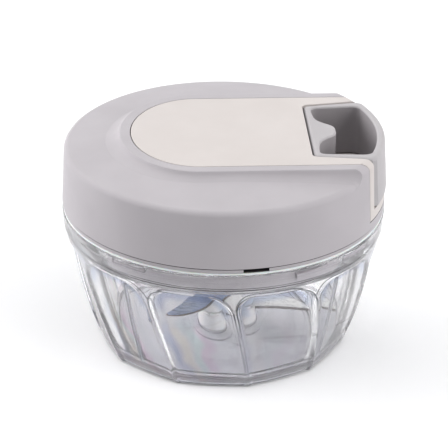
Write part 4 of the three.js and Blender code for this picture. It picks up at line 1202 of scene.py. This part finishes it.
@dataclass
class BladeSet(Assembly):
    """Three curved blades on a white hub that turns on the bowl's pin."""

    first_z: float = 10.5
    pitch: float = 10.45
    thickness: float = 1.1
    first_angle: float = 4.0
    tip_x: float = 41.66
    middle_shorter: float = 4.3
    width: float = 13.0
    tip_width: float = 1.2
    sweep: float = 8.0
    bevel: float = 3.4
    grind: float = 0.9
    back_edge: float = 0.12
    steps: int = 48
    crowding: float = 1.6
    neck: float = 7.6
    core: float = 5.3
    foot: float = 8.4
    foot_z: float = 4.0
    bush: float = 6.1
    bush_top: float = 8.0
    pin_space: float = 3.6
    core_rise: float = 3.3
    cap: float = 8.6
    cap_floor: float = 44.1
    jaw_height: float = 6.7
    jaw_wall: float = 3.1
    jaw_width: float = 45.0
    jaw_middle: float = 60.0

    @property
    def top_blade(self) -> float:
        """Height of the top blade's upper side."""
        return self.first_z + 2 * self.pitch + self.thickness

    @property
    def core_top(self) -> float:
        """Height of the column's top."""
        return self.top_blade + self.core_rise

    def _back(self, share: float) -> float:
        """Return where a blade's blunt back is, at a share of its length from the root."""
        return -self.width / 2 - self.sweep * share * share + self.sweep / 2 * share

    def _span(self, share: float) -> float:
        """Return a blade's width at a share of its length from the root."""
        return self.tip_width + (self.width - self.tip_width) * math.sqrt(max(1 - share * share, 0.0))

    def _blade(self, z: float, tip_x: float) -> Solid:
        """Return one blade along +X.

        Args:
            z: Height of its underside.
            tip_x: Distance of its tip from the axis.

        Returns:
            The blade.
        """
        middle = z + self.thickness / 2
        top = z + self.thickness
        rings = []
        for step in range(self.steps + 1):
            share = 1 - (1 - step / self.steps) ** self.crowding
            x = lerp(self.neck - self.thickness, tip_x, share)
            back = self._back(share)
            front = back + self._span(share)
            bevel = front - min(self.bevel, self._span(share) / 2)
            grind = front - min(self.grind, self._span(share) / 4)
            section = [
                (back + self.back_edge, z), (bevel, z), (grind, middle - 0.3), (front, middle - 0.08),
                (front, middle + 0.08), (grind, middle + 0.3), (bevel, top), (back + self.back_edge, top),
                (back, top - self.back_edge), (back, z + self.back_edge),
            ]
            rings.append([(x, y, height) for y, height in section])
        bore = Solid.rod(self.core + SEAM, z - 2, z + 4)
        return Solid.loft(rings) + Solid.rod(self.neck, z, top) - bore

    def _on_edge(self, middle: Vector, turn: float, tip_x: float) -> bool:
        """Tell whether a face lies on a blade's blunt back or its ground edge, where shade is painted.

        Args:
            middle: Middle of the face in millimetres.
            turn: Angle of the blade in degrees.
            tip_x: Distance of its tip from the axis.

        Returns:
            Whether it does.
        """
        here = Matrix.Rotation(math.radians(-turn), 3, "Z") @ middle
        root = self.neck - self.thickness
        share = (here.x - root) / (tip_x - root)
        across = here.y - self._back(share)
        return here.x > self.neck and not 0.09 < across < self._span(share) - self.grind * 0.75

    def _blades(self, shop: Workshop) -> None:
        """Build the three blades.

        Args:
            shop: Workshop that finishes them.
        """
        for index, name in enumerate(("blade_lower", "blade_middle", "blade_upper")):
            # Painted reflection: the middle blade gets the blue-tinted steel.
            shorter, finish = (self.middle_shorter, BLADE_REFLECTED_BLUE) if index == 1 else (0, BLADE_STEEL)
            tip_x = self.tip_x - shorter
            turn = self.first_angle - 120 * index
            blade = self._blade(self.first_z + index * self.pitch, tip_x).turned(turn)
            piece = shop.piece(f"{name}_ground", blade, finish, "blade_steel", Part.BLADES, [name], 20)
            # Painted shade: the backs and ground edges get the dark brown.
            shop.paint(piece, BLADE_EDGE_SHADE, lambda middle, at=(turn, tip_x): self._on_edge(middle, *at))

    def _column(self) -> Solid:
        """Return the column that carries the blades.

        Returns:
            The column.
        """
        foot, neck, core, top = self.foot, self.neck, self.core, self.core_top
        seat = self.first_z - SEAM
        return Solid.lathe([
            (self.bush, self.foot_z), (foot - 0.4, self.foot_z), (foot - 0.1, self.foot_z + 0.15),
            (foot, self.foot_z + 0.5), (neck + 0.05, seat - 0.7), (neck, seat - 0.3), (neck - 0.2, seat),
            (core, seat), (core, top - 0.4), (core - 0.4, top), (self.pin_space, top),
            (self.pin_space, self.bush_top), (self.bush, self.bush_top),
        ], 96, True)

    def _head(self) -> Solid:
        """Return the hub's cap with its coupling jaws.

        Returns:
            The cap.
        """
        neck, core, cap = self.neck, self.core, self.cap
        low = self.top_blade + SEAM
        roof = self.core_top + SEAM
        head = Solid.lathe([
            (0, roof), (core + SEAM, roof), (core + SEAM, low), (neck - 0.3, low), (neck, low + 0.3),
            (cap - 0.3, roof - 0.4), (cap, roof), (cap, self.cap_floor - 0.3), (cap - 0.3, self.cap_floor),
            (0, self.cap_floor),
        ], 96)
        half = self.jaw_width / 2
        jaw = Solid.sector(
            cap - self.jaw_wall, cap, self.cap_floor - 1, self.cap_floor + self.jaw_height,
            self.jaw_middle - half, self.jaw_middle + half, 0.5,
        )
        return joined(head, jaw.around(3))

    def build(self, shop: Workshop) -> None:
        """Build the blades and the hub; see Assembly."""
        self._blades(shop)
        whites = [("hub_core_body", self._column(), "hub_core")]
        for index, spacer in enumerate(("blade_spacer_lower", "blade_spacer_upper")):
            under = self.first_z + index * self.pitch + self.thickness + SEAM
            over = self.first_z + (index + 1) * self.pitch - SEAM
            ring = Solid.ring(self.core + SEAM, self.neck, under, over, 0.3)
            whites.append((f"{spacer}_ring", ring, spacer))
        whites.append(("hub_cap_body", self._head(), "hub_cap"))
        for name, solid, node in whites:
            shop.piece(name, solid, HUB_WHITE, "hub_white", Part.BLADES, [node])


# The lid


@dataclass
class LidShape:
    """Sizes and curves that the lid's cover, panel and grip share."""

    edge_z: float = 58.1
    radius: float = 62.5
    wall_top: float = 78.6
    draft: float = 0.9
    shoulder: float = 2.2
    crown_rise: float = 1.9
    crown_flat: float = 38.0
    top: float = 85.5
    rim_fillet: float = 3.5
    panel_half: float = 31.55
    panel_left: float = -35.85
    panel_end: float = 26.1
    panel_thickness: float = 2.0
    border: float = 4.5
    dock_x: float = 32.0
    dock_floor: float = 64.9
    ledge_bottom: float = 61.3
    flare_x: float = 50.0
    mouth_x: float = 57.0
    mouth_half: float = 28.6
    grip_half: float = 23.6
    grip_flare: float = 2.7

    @property
    def reach(self) -> float:
        """Distance past the lid's wall, for cutters."""
        return self.radius + OVERRUN

    @property
    def crown_edge(self) -> float:
        """Height of the crown's outer edge."""
        return self.wall_top + self.shoulder

    @property
    def shoulder_radius(self) -> float:
        """Radius where the shoulder meets the crown."""
        return self.wall(self.wall_top) - self.shoulder

    @property
    def flare_slope(self) -> float:
        """Growth of the grip's half-width along X."""
        return self.grip_flare / (self.flare_x - self.dock_x)

    def wall(self, z: float) -> float:
        """Return the radius of the side wall at a height."""
        return self.radius - self.draft * (z - self.edge_z) / (self.wall_top - self.edge_z)

    def crown(self, radius: float) -> float:
        """Return the height of the domed top at a distance from the axis."""
        share = (self.shoulder_radius - radius) / (self.shoulder_radius - self.crown_flat)
        return self.crown_edge + self.crown_rise * min(max(share, 0.0), 1.0)

    def skin(self, radius: float) -> float:
        """Return the height of the outside, over the crown and the shoulder's round.

        Args:
            radius: Distance from the axis.

        Returns:
            The height.
        """
        past = radius - self.shoulder_radius
        if past <= 0:
            return self.crown(radius)
        return self.wall_top + math.sqrt(max(self.shoulder**2 - past**2, 0.0))

    def stadium(
        self, margin: float, extra: float = 0.0, reach: float | None = None, steps: int = 96,
    ) -> Plan:
        """Return the round-ended outline of the platform.

        Args:
            margin: Distance outwards from the panel's edge.
            extra: More length at the round end.
            reach: Where it ends at +X.
            steps: Facets in the round end.

        Returns:
            The outline.
        """
        far = self.reach if reach is None else reach
        half = self.panel_half + margin
        length = self.panel_end + margin + extra
        middle = self.panel_left + self.panel_end
        plan: Plan = [(far, -half), (far, half)]
        for step in range(steps + 1):
            angle = math.pi / 2 + step / steps * math.pi
            plan.append((middle + length * math.cos(angle), half * math.sin(angle)))
        return plan

    def envelope(self) -> Solid:
        """Return everything inside the wall and under the platform's rounded rim.

        Returns:
            The envelope.
        """
        start = self.top - self.rim_fillet
        arc = quarter(self.wall(start), start, self.rim_fillet, 12)
        return Solid.lathe([(0, self.edge_z), (self.radius, self.edge_z), *arc], 320)


@dataclass
class LidCover(Assembly):
    """Satin cover with a domed top, a raised round-ended platform and the dock's opening."""

    shape: LidShape
    flank: float = 4.6
    flank_extra: float = 3.0
    flank_steps: int = 16
    edge_drop: float = 0.45
    edge_round: float = 0.7
    wall: float = 2.0
    panel_gap: float = 0.28
    lip: float = 0.3
    dock_x: float = 29.9
    post: float = 4.0
    post_top: float = 80.7
    pilot_top: float = 70.1
    boss: float = 7.0
    boss_low: float = 78.6
    shaft_bore: float = 3.9
    shaft_low: float = 75.6

    def _dome(self) -> Solid:
        """Return the outside under the platform as a solid body.

        Returns:
            The body.
        """
        shape = self.shape
        edge = shape.edge_z
        flat = shape.crown_flat
        ground = shape.crown_edge + shape.crown_rise
        shoulder = quarter(shape.wall(shape.wall_top), shape.wall_top, shape.shoulder, 10)
        return Solid.lathe([
            (0, edge), (shape.radius - 0.12, edge), (shape.radius, edge + 0.12), *shoulder,
            (flat + 6, shape.crown(flat + 6)), (flat, ground), (0, ground),
        ], 320)

    def _hollow(self) -> Solid:
        """Return the space under the cover.

        Returns:
            The space.
        """
        shape = self.shape
        low = shape.edge_z - OVERRUN
        inner = shape.radius - self.wall
        ceiling = shape.crown_edge + shape.crown_rise - self.wall
        return Solid.lathe([
            (0, low), (inner, low), (inner, shape.edge_z),
            (shape.wall(shape.wall_top) - self.wall, shape.wall_top - SEAM),
            (shape.shoulder_radius - self.wall, shape.crown_edge - self.wall),
            (shape.crown_flat, ceiling), (0, ceiling),
        ], 192)

    def _flank_ring(self, share: float, drop: float, margin: float) -> list[Point]:
        """Return one ring of the platform's side.

        Args:
            share: Place between the platform's edge, 0, and the crown, 1.
            drop: Share of the way down from the platform to the crown.
            margin: Distance outwards from the panel's edge.

        Returns:
            The ring.
        """
        shape = self.shape
        start, end, *arc = shape.stadium(margin, self.flank_extra * share)
        steps = 40
        there = [(lerp(end[0], arc[0][0], step / steps), end[1]) for step in range(steps)]
        back = [(lerp(arc[-1][0], start[0], step / steps), start[1]) for step in range(1, steps)]
        ring: list[Point] = []
        for x, y in [start, *there, *arc, *back]:
            ring.append((x, y, lerp(shape.top, shape.skin(math.hypot(x, y)) - SEAM / 2, drop)))
        return ring

    def _platform(self) -> Solid:
        """Return the platform with its hollow flank.

        Returns:
            The platform.
        """
        border = self.shape.border
        rings = []
        for share in [step / self.flank_steps for step in range(self.flank_steps, 0, -1)]:
            drop = math.sqrt(1 - (1 - share) ** 2)
            rings.append(self._flank_ring(share, drop, border + self.flank * share))
        skirt = [(x, y, self.shape.wall_top - self.wall) for x, y, _z in rings[0]]
        for turn in right_angle(5)[1:]:
            inward = self.edge_round * (1 - math.cos(turn))
            rings.append(self._flank_ring(0, drop * self.edge_drop * (1 - math.sin(turn)), border - inward))
        return Solid.loft([skirt, *rings]) & self.shape.envelope()

    def _in_recess(self, middle: Vector) -> bool:
        """Tell whether a face lies in the gap round the panel or inside the cover, where shade is painted.

        Args:
            middle: Middle of the face in millimetres.

        Returns:
            Whether it does.
        """
        shape = self.shape
        left = shape.panel_left + shape.panel_end
        half = shape.panel_half + 0.35
        if middle.x > left:
            inside = abs(middle.y) < half
        else:
            inside = math.hypot((middle.x - left) / (shape.panel_end + 0.35), middle.y / half) < 1
        return inside and middle.z < shape.top - 0.32 and math.hypot(middle.x, middle.y) < shape.radius - 2

    def build(self, shop: Workshop) -> None:
        """Build the cover; see Assembly."""
        shape = self.shape
        edge = shape.edge_z
        ceiling = shape.crown_edge - self.wall
        recess_floor = shape.top - shape.panel_thickness - SEAM
        roof = recess_floor - self.wall
        attic = Solid.prism(shape.stadium(shape.border - self.wall, 0, shape.dock_x, 48), ceiling, roof)
        opening = shape.stadium(self.panel_gap)
        recess = Solid.prism(opening, recess_floor, shape.top)
        lip = Solid.prism(opening, shape.top - 0.4, shape.top + 0.02, head=-self.lip)
        cover = cut(self._dome() + self._platform(), [self._hollow(), attic, recess, lip])
        posts = Solid.rod(self.post, edge, self.post_top, 48).at_screws()
        pilots = Solid.rod(PILOT, edge - OVERRUN, self.pilot_top, 32).at_screws()
        boss = Solid.rod(self.boss, self.boss_low, roof + 1, 64)
        bore = Solid.rod(self.shaft_bore, self.shaft_low, roof, 48)
        plan = oblong(self.dock_x, shape.reach, shape.panel_half + self.panel_gap)
        dock = Solid.prism(plan, shape.ledge_bottom - SEAM, shape.top + OVERRUN)
        cover = cut(joined(cover, [*posts, boss]), [*pilots, bore, dock])
        shell = shop.piece("lid_cover_shell", cover, LID_GREY, "lid_grey", Part.LID, ["lid_cover"], 30)
        # Painted shade: the faces in the panel's gap and inside the cover turn near-black.
        shop.paint(shell, GAP_PAINTED_SHADE, self._in_recess)


@dataclass
class TopPanel(Assembly):
    """Pale inlaid panel that turns down into the dock of the grip."""

    shape: LidShape
    dock_wall: float = 1.8
    near_x: float = 30.2
    dock_corner: float = 2.0
    grip_gap: float = 0.4
    lip: float = 0.3
    bore: float = 2.8

    def _in_dock_shade(self, middle: Vector) -> bool:
        """Tell whether a face lies on the dock's inner end, under the lip, where shade is painted."""
        return middle.z < self.shape.top - self.lip and abs(middle.x - self.shape.dock_x) < 0.15

    def build(self, shop: Workshop) -> None:
        """Build the panel; see Assembly."""
        shape = self.shape
        under = shape.top - shape.panel_thickness
        plate = Solid.prism(shape.stadium(0), under, shape.top, head=0.25)
        plan = oblong(self.near_x, shape.reach, shape.panel_half)
        block = Solid.prism(plan, shape.ledge_bottom, shape.top - 1)
        near = shape.grip_half + self.grip_gap
        far = near + shape.grip_flare
        side = [(shape.dock_x, near, self.dock_corner), (shape.flare_x, far, 0.0),
                (shape.mouth_x, shape.mouth_half, 0.0), (shape.reach + 1, shape.mouth_half, 0.0)]
        pocket_plan = rounded([*[(x, -y, corner) for x, y, corner in side[::-1]], *side], 8)[::-1]
        pocket = Solid.prism(pocket_plan, shape.dock_floor, shape.top)
        mouth = Solid.prism(pocket_plan, shape.top - 0.4, shape.top + 0.02, head=-self.lip)
        inner = shape.panel_half - self.dock_wall
        hollow_plan = [(shape.dock_x, near + self.dock_wall), (shape.flare_x, far + self.dock_wall),
                       (shape.flare_x, inner), (shape.dock_x, inner)]
        hollow = Solid.prism(hollow_plan, shape.ledge_bottom - OVERRUN, under)
        other = hollow.placed(Matrix.Scale(-1, 4, (0, 1, 0)))
        bore = Solid.cord_bore(self.bore, shape.dock_x - 5, shape.dock_x + 3, 48)
        body = cut((plate + block) & shape.envelope(), [pocket, mouth, hollow, other, bore])
        panel = shop.piece("top_panel_inlay", body, PANEL_PALE, "panel_pale", Part.LID, ["top_panel"], 30)
        # Painted shade: the dock's inner end under the lip turns near-black.
        shop.paint(panel, GAP_PAINTED_SHADE, self._in_dock_shade)


@dataclass
class Grip(Assembly):
    """Grip with a finger hole and the bell-shaped boss that holds the cord's end."""

    shape: LidShape
    low: float = 65.2
    inner_x: float = 32.4
    proud_bottom: float = 0.7
    proud_top: float = 0.3
    foot: float = 1.0
    head: float = 1.5
    corner: float = 1.6
    corner_turn: float = 0.022
    corner_room: float = 1.2
    side_start: float = 12.0
    inner_wall: float = 2.6
    side_wall: float = 1.9
    side_growth: float = 1.6
    outer_wall: float = 3.0
    bell_reach: float = 8.0
    bell_half: float = 7.0
    hole_corner: float = 3.5
    bore: float = 1.1
    pocket_x: float = 37.5
    pocket_length: float = 3.0
    pocket_half: float = 2.2

    def _outline(self, z: float, inset: float) -> Plan:
        """Return the outline at a height.

        Args:
            z: Height.
            inset: Distance inwards for the rounded edges.

        Returns:
            The outline.
        """
        shape = self.shape
        share = (z - self.low) / (shape.top - self.low)
        outer = shape.wall(z) + lerp(self.proud_bottom, self.proud_top, share) - inset
        near = shape.grip_half - inset

        def half(x: float) -> float:
            """Return half the grip's width at a place on X."""
            return near + shape.flare_slope * (x - self.inner_x)

        corner_x = outer
        for _turn in range(12):
            corner_x = math.sqrt(outer**2 - half(corner_x) ** 2)
        end = math.atan2(half(corner_x), corner_x) - self.corner_turn
        inner = self.inner_x + inset
        side_x = inner + self.side_start
        corners = [(side_x, half(side_x), 0), (inner, near, self.corner), (inner, -near, self.corner),
                   (side_x, -half(side_x), 0)]
        side = [lerp(side_x, corner_x - self.corner_room, step / 7) for step in range(1, 8)]
        arc = [polar(outer, lerp(-end, end, step / 48))[:2] for step in range(49)]
        there = [(x, -half(x)) for x in side]
        back = [(x, half(x)) for x in side[::-1]]
        return [*rounded(corners, 8), *there, *arc, *back]

    def _hole(self) -> Plan:
        """Return the outline of the finger hole.

        Returns:
            The outline.
        """
        shape = self.shape
        inner = self.inner_x + self.inner_wall
        root = shape.grip_half - self.side_wall
        outer = shape.wall(shape.top) + self.proud_top - self.outer_wall
        tip = shape.grip_half + shape.grip_flare - self.side_wall - self.side_growth
        corner = self.hole_corner
        bell: Plan = []
        for step in range(41):
            y = (root - corner * 0.75) * (1 - 2 * step / 40)
            bell.append((inner + self.bell_reach / (1 + (abs(y) / self.bell_half) ** 4), y))
        tip_x = math.sqrt(outer**2 - tip**2)
        tip_angle = math.asin((tip - corner * 0.7) / outer)
        side = bend(Vector(bell[-1]), Vector((inner, -root)), Vector((inner + corner, -root)), 8)[1:]
        near = Vector((tip_x - corner, lerp(-root, -tip, 0.8)))
        side += bend(near, Vector((tip_x, -tip)), Vector(polar(outer, -tip_angle)[:2]), 8)
        arc = [polar(outer, tip_angle * (2 * step / 32 - 1))[:2] for step in range(1, 32)]
        return [*bell, *side, *arc, *[(x, -y) for x, y in side[::-1]]]

    def _in_hole(self, middle: Vector) -> bool:
        """Tell whether a face lies on the wall of the finger hole, where shade is painted.

        Args:
            middle: Middle of the face in millimetres.

        Returns:
            Whether it does.
        """
        shape = self.shape
        near = self.inner_x + self.inner_wall - 0.1
        half = shape.grip_half - self.side_wall + shape.flare_slope * (middle.x - self.inner_x) + 0.1
        outer = shape.wall(shape.top) + self.proud_top - self.outer_wall + 0.1
        inside = middle.x > near and abs(middle.y) < half and math.hypot(middle.x, middle.y) < outer
        return inside and self.low + 0.2 < middle.z < shape.top - 1.2

    def build(self, shop: Workshop) -> None:
        """Build the grip; see Assembly."""
        top = self.shape.top
        levels = [(self.low + self.foot * (1 - math.sin(turn)), self.foot * (1 - math.cos(turn)))
                  for turn in right_angle(6)[::-1]]
        levels += [(lerp(self.low + self.foot, top - self.head, step / 6), 0.0) for step in range(1, 6)]
        levels += [(top - self.head * (1 - math.sin(turn)), self.head * (1 - math.cos(turn)))
                   for turn in right_angle(8)]
        body = Solid.loft([[(x, y, z) for x, y in self._outline(z, inset)] for z, inset in levels])
        hole = self._hole()
        pocket_plan = oblong(self.pocket_x, self.pocket_x + self.pocket_length, self.pocket_half)
        body = cut(body, [
            Solid.prism(hole, self.low - OVERRUN, top - 0.5),
            Solid.prism(hole, top - 1.3, top + 0.02, head=-0.8),
            Solid.prism(hole, self.low - 0.02, self.low + 1.0, foot=-0.5),
            Solid.cord_bore(self.bore, self.shape.dock_x - 2, self.pocket_x + self.pocket_length / 2, 32),
            Solid.prism(pocket_plan, self.low - OVERRUN, CORD_Z + self.pocket_half),
        ])
        grip = shop.piece("pull_grip_body", body, GRIP_GREY, "lid_grey", Part.HANDLE, ["pull_handle"], 30)
        # Painted shade: the finger hole's walls get the darker grey.
        shop.paint(grip, GRIP_HOLE_SHADE, self._in_hole)


@dataclass
class LidBase(Assembly):
    """Flange, skirt and boss under the cover, with the seal ring on the bowl's rim."""

    flange: float = 62.2
    low: float = 56.4
    high: float = 57.97
    plate: float = 56.0
    skirt: float = 57.52
    skirt_bottom: float = 46.8
    skirt_wall: float = 1.8
    shaft_bore: float = 3.9
    seal_bore: float = 7.5
    boss: float = 12.0
    boss_low: float = 53.4
    lug_middle: float = -59.0
    lug_width: float = 14.0
    lug_height: float = 1.8
    lug_top: float = 51.3
    notch: tuple[float, float] = (-86.5, -77.6)
    notch_inner: float = 59.0
    screw_low: float = 52.0
    screw_high: float = 60.0
    seal_inner: float = 60.0
    seal_low: float = 55.45
    seal_high: float = 56.25

    def _in_gap(self, middle: Vector) -> bool:
        """Tell whether a face lies in the notch or in the gap under the cover, where shade is painted.

        Args:
            middle: Middle of the face in millimetres.

        Returns:
            Whether it does.
        """
        radius = math.hypot(middle.x, middle.y)
        angle = math.degrees(math.atan2(middle.y, middle.x))
        beside = self.notch[0] - 0.2 < angle < self.notch[1] + 0.2
        in_notch = beside and self.notch_inner - 0.5 < radius < self.flange - 0.1
        near_edge = radius > self.notch_inner - 1 and middle.z > self.low - 0.3
        return near_edge and (in_notch or middle.z > self.high - 0.25)

    def _plate(self) -> Solid:
        """Return the turned body of the base.

        Returns:
            The body.
        """
        flange, boss, skirt, plate = self.flange, self.boss, self.skirt, self.plate
        inner = skirt - self.skirt_wall
        foot = self.skirt_bottom
        return Solid.lathe([
            (self.shaft_bore, plate), (self.seal_bore, plate), (self.seal_bore, self.boss_low),
            (boss - 0.3, self.boss_low), (boss, self.boss_low + 0.3), (boss, plate - 0.5),
            (boss + 0.5, plate), (inner - 0.5, plate), (inner, plate - 0.5), (inner, foot + 0.3),
            (inner + 0.3, foot),
            (skirt - 0.3, foot), (skirt, foot + 0.3), (skirt, self.low), (flange - 0.2, self.low),
            (flange, self.low + 0.2), (flange, self.high - 0.2), (flange - 0.2, self.high),
            (self.shaft_bore, self.high),
        ], 256, True)

    def _seal(self) -> Solid:
        """Return the seal ring, with its edges rounded off.

        Returns:
            The ring.
        """
        inner, outer, low, high = self.seal_inner, self.flange, self.seal_low, self.seal_high
        return Solid.lathe([
            (inner, low + 0.15), (inner + 0.2, low), (outer - 0.3, low), (outer, low + 0.25),
            (outer, high - 0.25), (outer - 0.3, high), (inner + 0.2, high), (inner, high - 0.15),
        ], 256, True)

    def build(self, shop: Workshop) -> None:
        """Build the lid's base and seal; see Assembly."""
        half = self.lug_width / 2
        lug = Solid.sector(
            self.skirt - SEAM, self.skirt + 1.3, self.lug_top - self.lug_height, self.lug_top,
            self.lug_middle - half, self.lug_middle + half, 0.3,
        )
        inner, outer = self.notch_inner, self.flange + OVERRUN
        notch = Solid.sector(inner, outer, self.low - OVERRUN, self.high + OVERRUN, *self.notch)
        holes = Solid.rod(PILOT, self.screw_low, self.screw_high, 32).at_screws()
        body = cut(joined(self._plate(), lug.around(4)), [notch, *holes])
        # Painted shade: a thin floor closes the notch, and it turns near-black with the notch's walls and
        # the flange's top under the cover.
        notch_shade_floor = Solid.sector(inner - 0.5, self.flange - 0.4, self.low, self.low + 0.4, *self.notch)
        plate = shop.piece("lid_base_plate", body + notch_shade_floor, LID_GREY, "lid_grey", Part.LID, ["lid_base"])
        shop.paint(plate, GAP_PAINTED_SHADE, self._in_gap)
        shop.piece("lid_seal_ring", self._seal(), SEAL_WHITE, "seal", Part.LID_RING, ["lid_seal"])


@dataclass
class PullCord(Assembly):
    """Stretch of cord between the eyelet and the grip."""

    start_x: float = 32.3
    end_x: float = 37.5
    radius: float = 0.8
    steps: int = 60
    sides: int = 16

    def build(self, shop: Workshop) -> None:
        """Build the stretch of cord; see Assembly."""
        rings = []
        for step in range(self.steps + 1):
            x = lerp(self.start_x, self.end_x, step / self.steps)
            round_x = [polar(self.radius, side / self.sides * TURN) for side in range(self.sides)]
            rings.append([(x, -across, CORD_Z + up) for up, across, _z in round_x])
        cord = shop.piece("cord_lead_braid", Solid.loft(rings), CORD_WHITE, "cord", None, ["cord_lead"])
        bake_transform(cord)


# The studio


@dataclass
class Studio:
    """Camera of the photograph, white floor and soft light."""

    distance: float = 900.0
    elevation: float = 0.4628
    turn: float = 0.0632
    roll: float = 0.0124
    focal: float = 2299.96
    picture: float = 448.0
    target: Point = (0.3634, 0.0, 45.7041)
    grazing: float = 30.0
    sky_light: float = 0.27
    inside_share: float = 0.35
    floor_size: float = 6.0
    floor_drop: float = 0.2
    sensor: float = 36.0
    sight: float = 20.0

    def camera(self) -> None:
        """Place the camera where the photograph was taken."""
        ahead = Vector((0, math.cos(self.elevation), -math.sin(self.elevation)))
        level_up = Vector((0, math.sin(self.elevation), math.cos(self.elevation)))
        level_right = Vector((1, 0, 0))
        right = level_right * math.cos(self.roll) + level_up * math.sin(self.roll)
        up = level_up * math.cos(self.roll) - level_right * math.sin(self.roll)
        eye = Vector(self.target) - ahead * self.distance
        back = Matrix.Rotation(-self.turn, 3, "Z")
        axes = Matrix([back @ right, back @ up, back @ -ahead]).transposed()
        data = bpy.data.cameras.new("camera")
        data.sensor_fit = "HORIZONTAL"
        data.sensor_width = self.sensor
        data.lens = self.focal / self.picture * self.sensor
        data.clip_end = self.sight
        camera = linked(bpy.data.objects.new("camera", data))
        camera.matrix_world = Matrix.Translation(back @ eye * MM) @ axes.to_4x4()
        bpy.context.scene.camera = camera

    def sun(self, name: str, bearing: float, height: float, share: float, spread: float) -> None:
        """Add soft light from one side; a low one leaves no glare on the lid.

        Args:
            name: Name of the light.
            bearing: Where it comes from, as degrees from +X.
            height: Its height above the floor in degrees.
            share: Brightness that it gives a white surface facing it.
            spread: Width of the light in degrees.
        """
        data = bpy.data.lights.new(name, "SUN")
        data.energy = share * math.pi
        data.angle = math.radians(spread)
        lamp = linked(bpy.data.objects.new(name, data))
        lamp.visible_glossy = height > self.grazing
        level = math.radians(height)
        source = Vector(polar(math.cos(level), math.radians(bearing), math.sin(level)))
        lamp.rotation_euler = (-source).to_track_quat("-Z", "Y").to_euler()
        lamp.location = source

    def floor(self) -> None:
        """Lay the floor."""
        size = self.floor_size
        mesh = bpy.data.meshes.new("floor")
        mesh.from_pydata([(x, y, 0) for x, y in oblong(-size, size, size)], [], [(0, 1, 2, 3)])
        mesh.materials.append(FLOOR_WHITE.material())
        floor = linked(bpy.data.objects.new("floor", mesh))
        floor.location.z = -self.floor_drop * MM

    def sky(self) -> None:
        """Light the scene evenly, with plain white behind the object."""
        world = bpy.data.worlds.new("studio")
        bpy.context.scene.world = world
        world.use_nodes = True
        graph = Graph(world.node_tree)
        seen = graph.math("MAXIMUM", graph.ray("Is Camera Ray"), graph.ray("Is Glossy Ray"))
        seen = graph.math("MAXIMUM", seen, graph.ray("Is Transmission Ray"))
        seen = seen * graph.ranged(graph.ray("Diffuse Depth"), 0, 1, 1, self.inside_share)
        lights = [((0.97, 0.98, 1.0, 1), self.sky_light), ((1, 1, 1, 1), 1.0)]
        plain, white = (
            graph.node("ShaderNodeBackground", {}, {"Color": colour, "Strength": strength})
            for colour, strength in lights
        )
        graph.node("ShaderNodeOutputWorld", {}, {"Surface": graph.layered(seen, plain, white)})

    def build(self) -> None:
        """Build the studio."""
        bpy.context.scene.view_settings.view_transform = "Standard"
        self.camera()
        self.floor()
        self.sky()
        self.sun("left", bearing=165, height=9, share=1.2, spread=46)
        self.sun("right", bearing=-28, height=13, share=0.84, spread=60)
        self.sun("top", bearing=110, height=75, share=0.56, spread=110)
        log.info("built the studio")


def main() -> None:
    """Build the chopper's looks in order."""
    logging.basicConfig(level=logging.INFO, format="%(message)s")
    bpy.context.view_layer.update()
    Studio().build()
    shop = Workshop()
    lid = LidShape()
    for assembly in (Bowl(), BladeSet(), LidBase(), LidCover(lid), TopPanel(lid), Grip(lid), PullCord()):
        assembly.build(shop)
    shop.dress({
        PLAIN_STEEL: ["bowl_pin", "drive_shaft", "spring_plate", "rewind_spring", "cord_guide", "cord_stop",
                      "cover_screw_1", "cover_screw_2", "cover_screw_3", "cover_screw_4"],
        INNER_PLASTIC: ["pin_bush", "drive_dog", "reel", "spring_cup"],
        SEAL_WHITE: ["drive_seal"],
        CORD_WHITE: ["cord_winding", "cord_run"],
    })


if __name__ == "__main__":
    main()
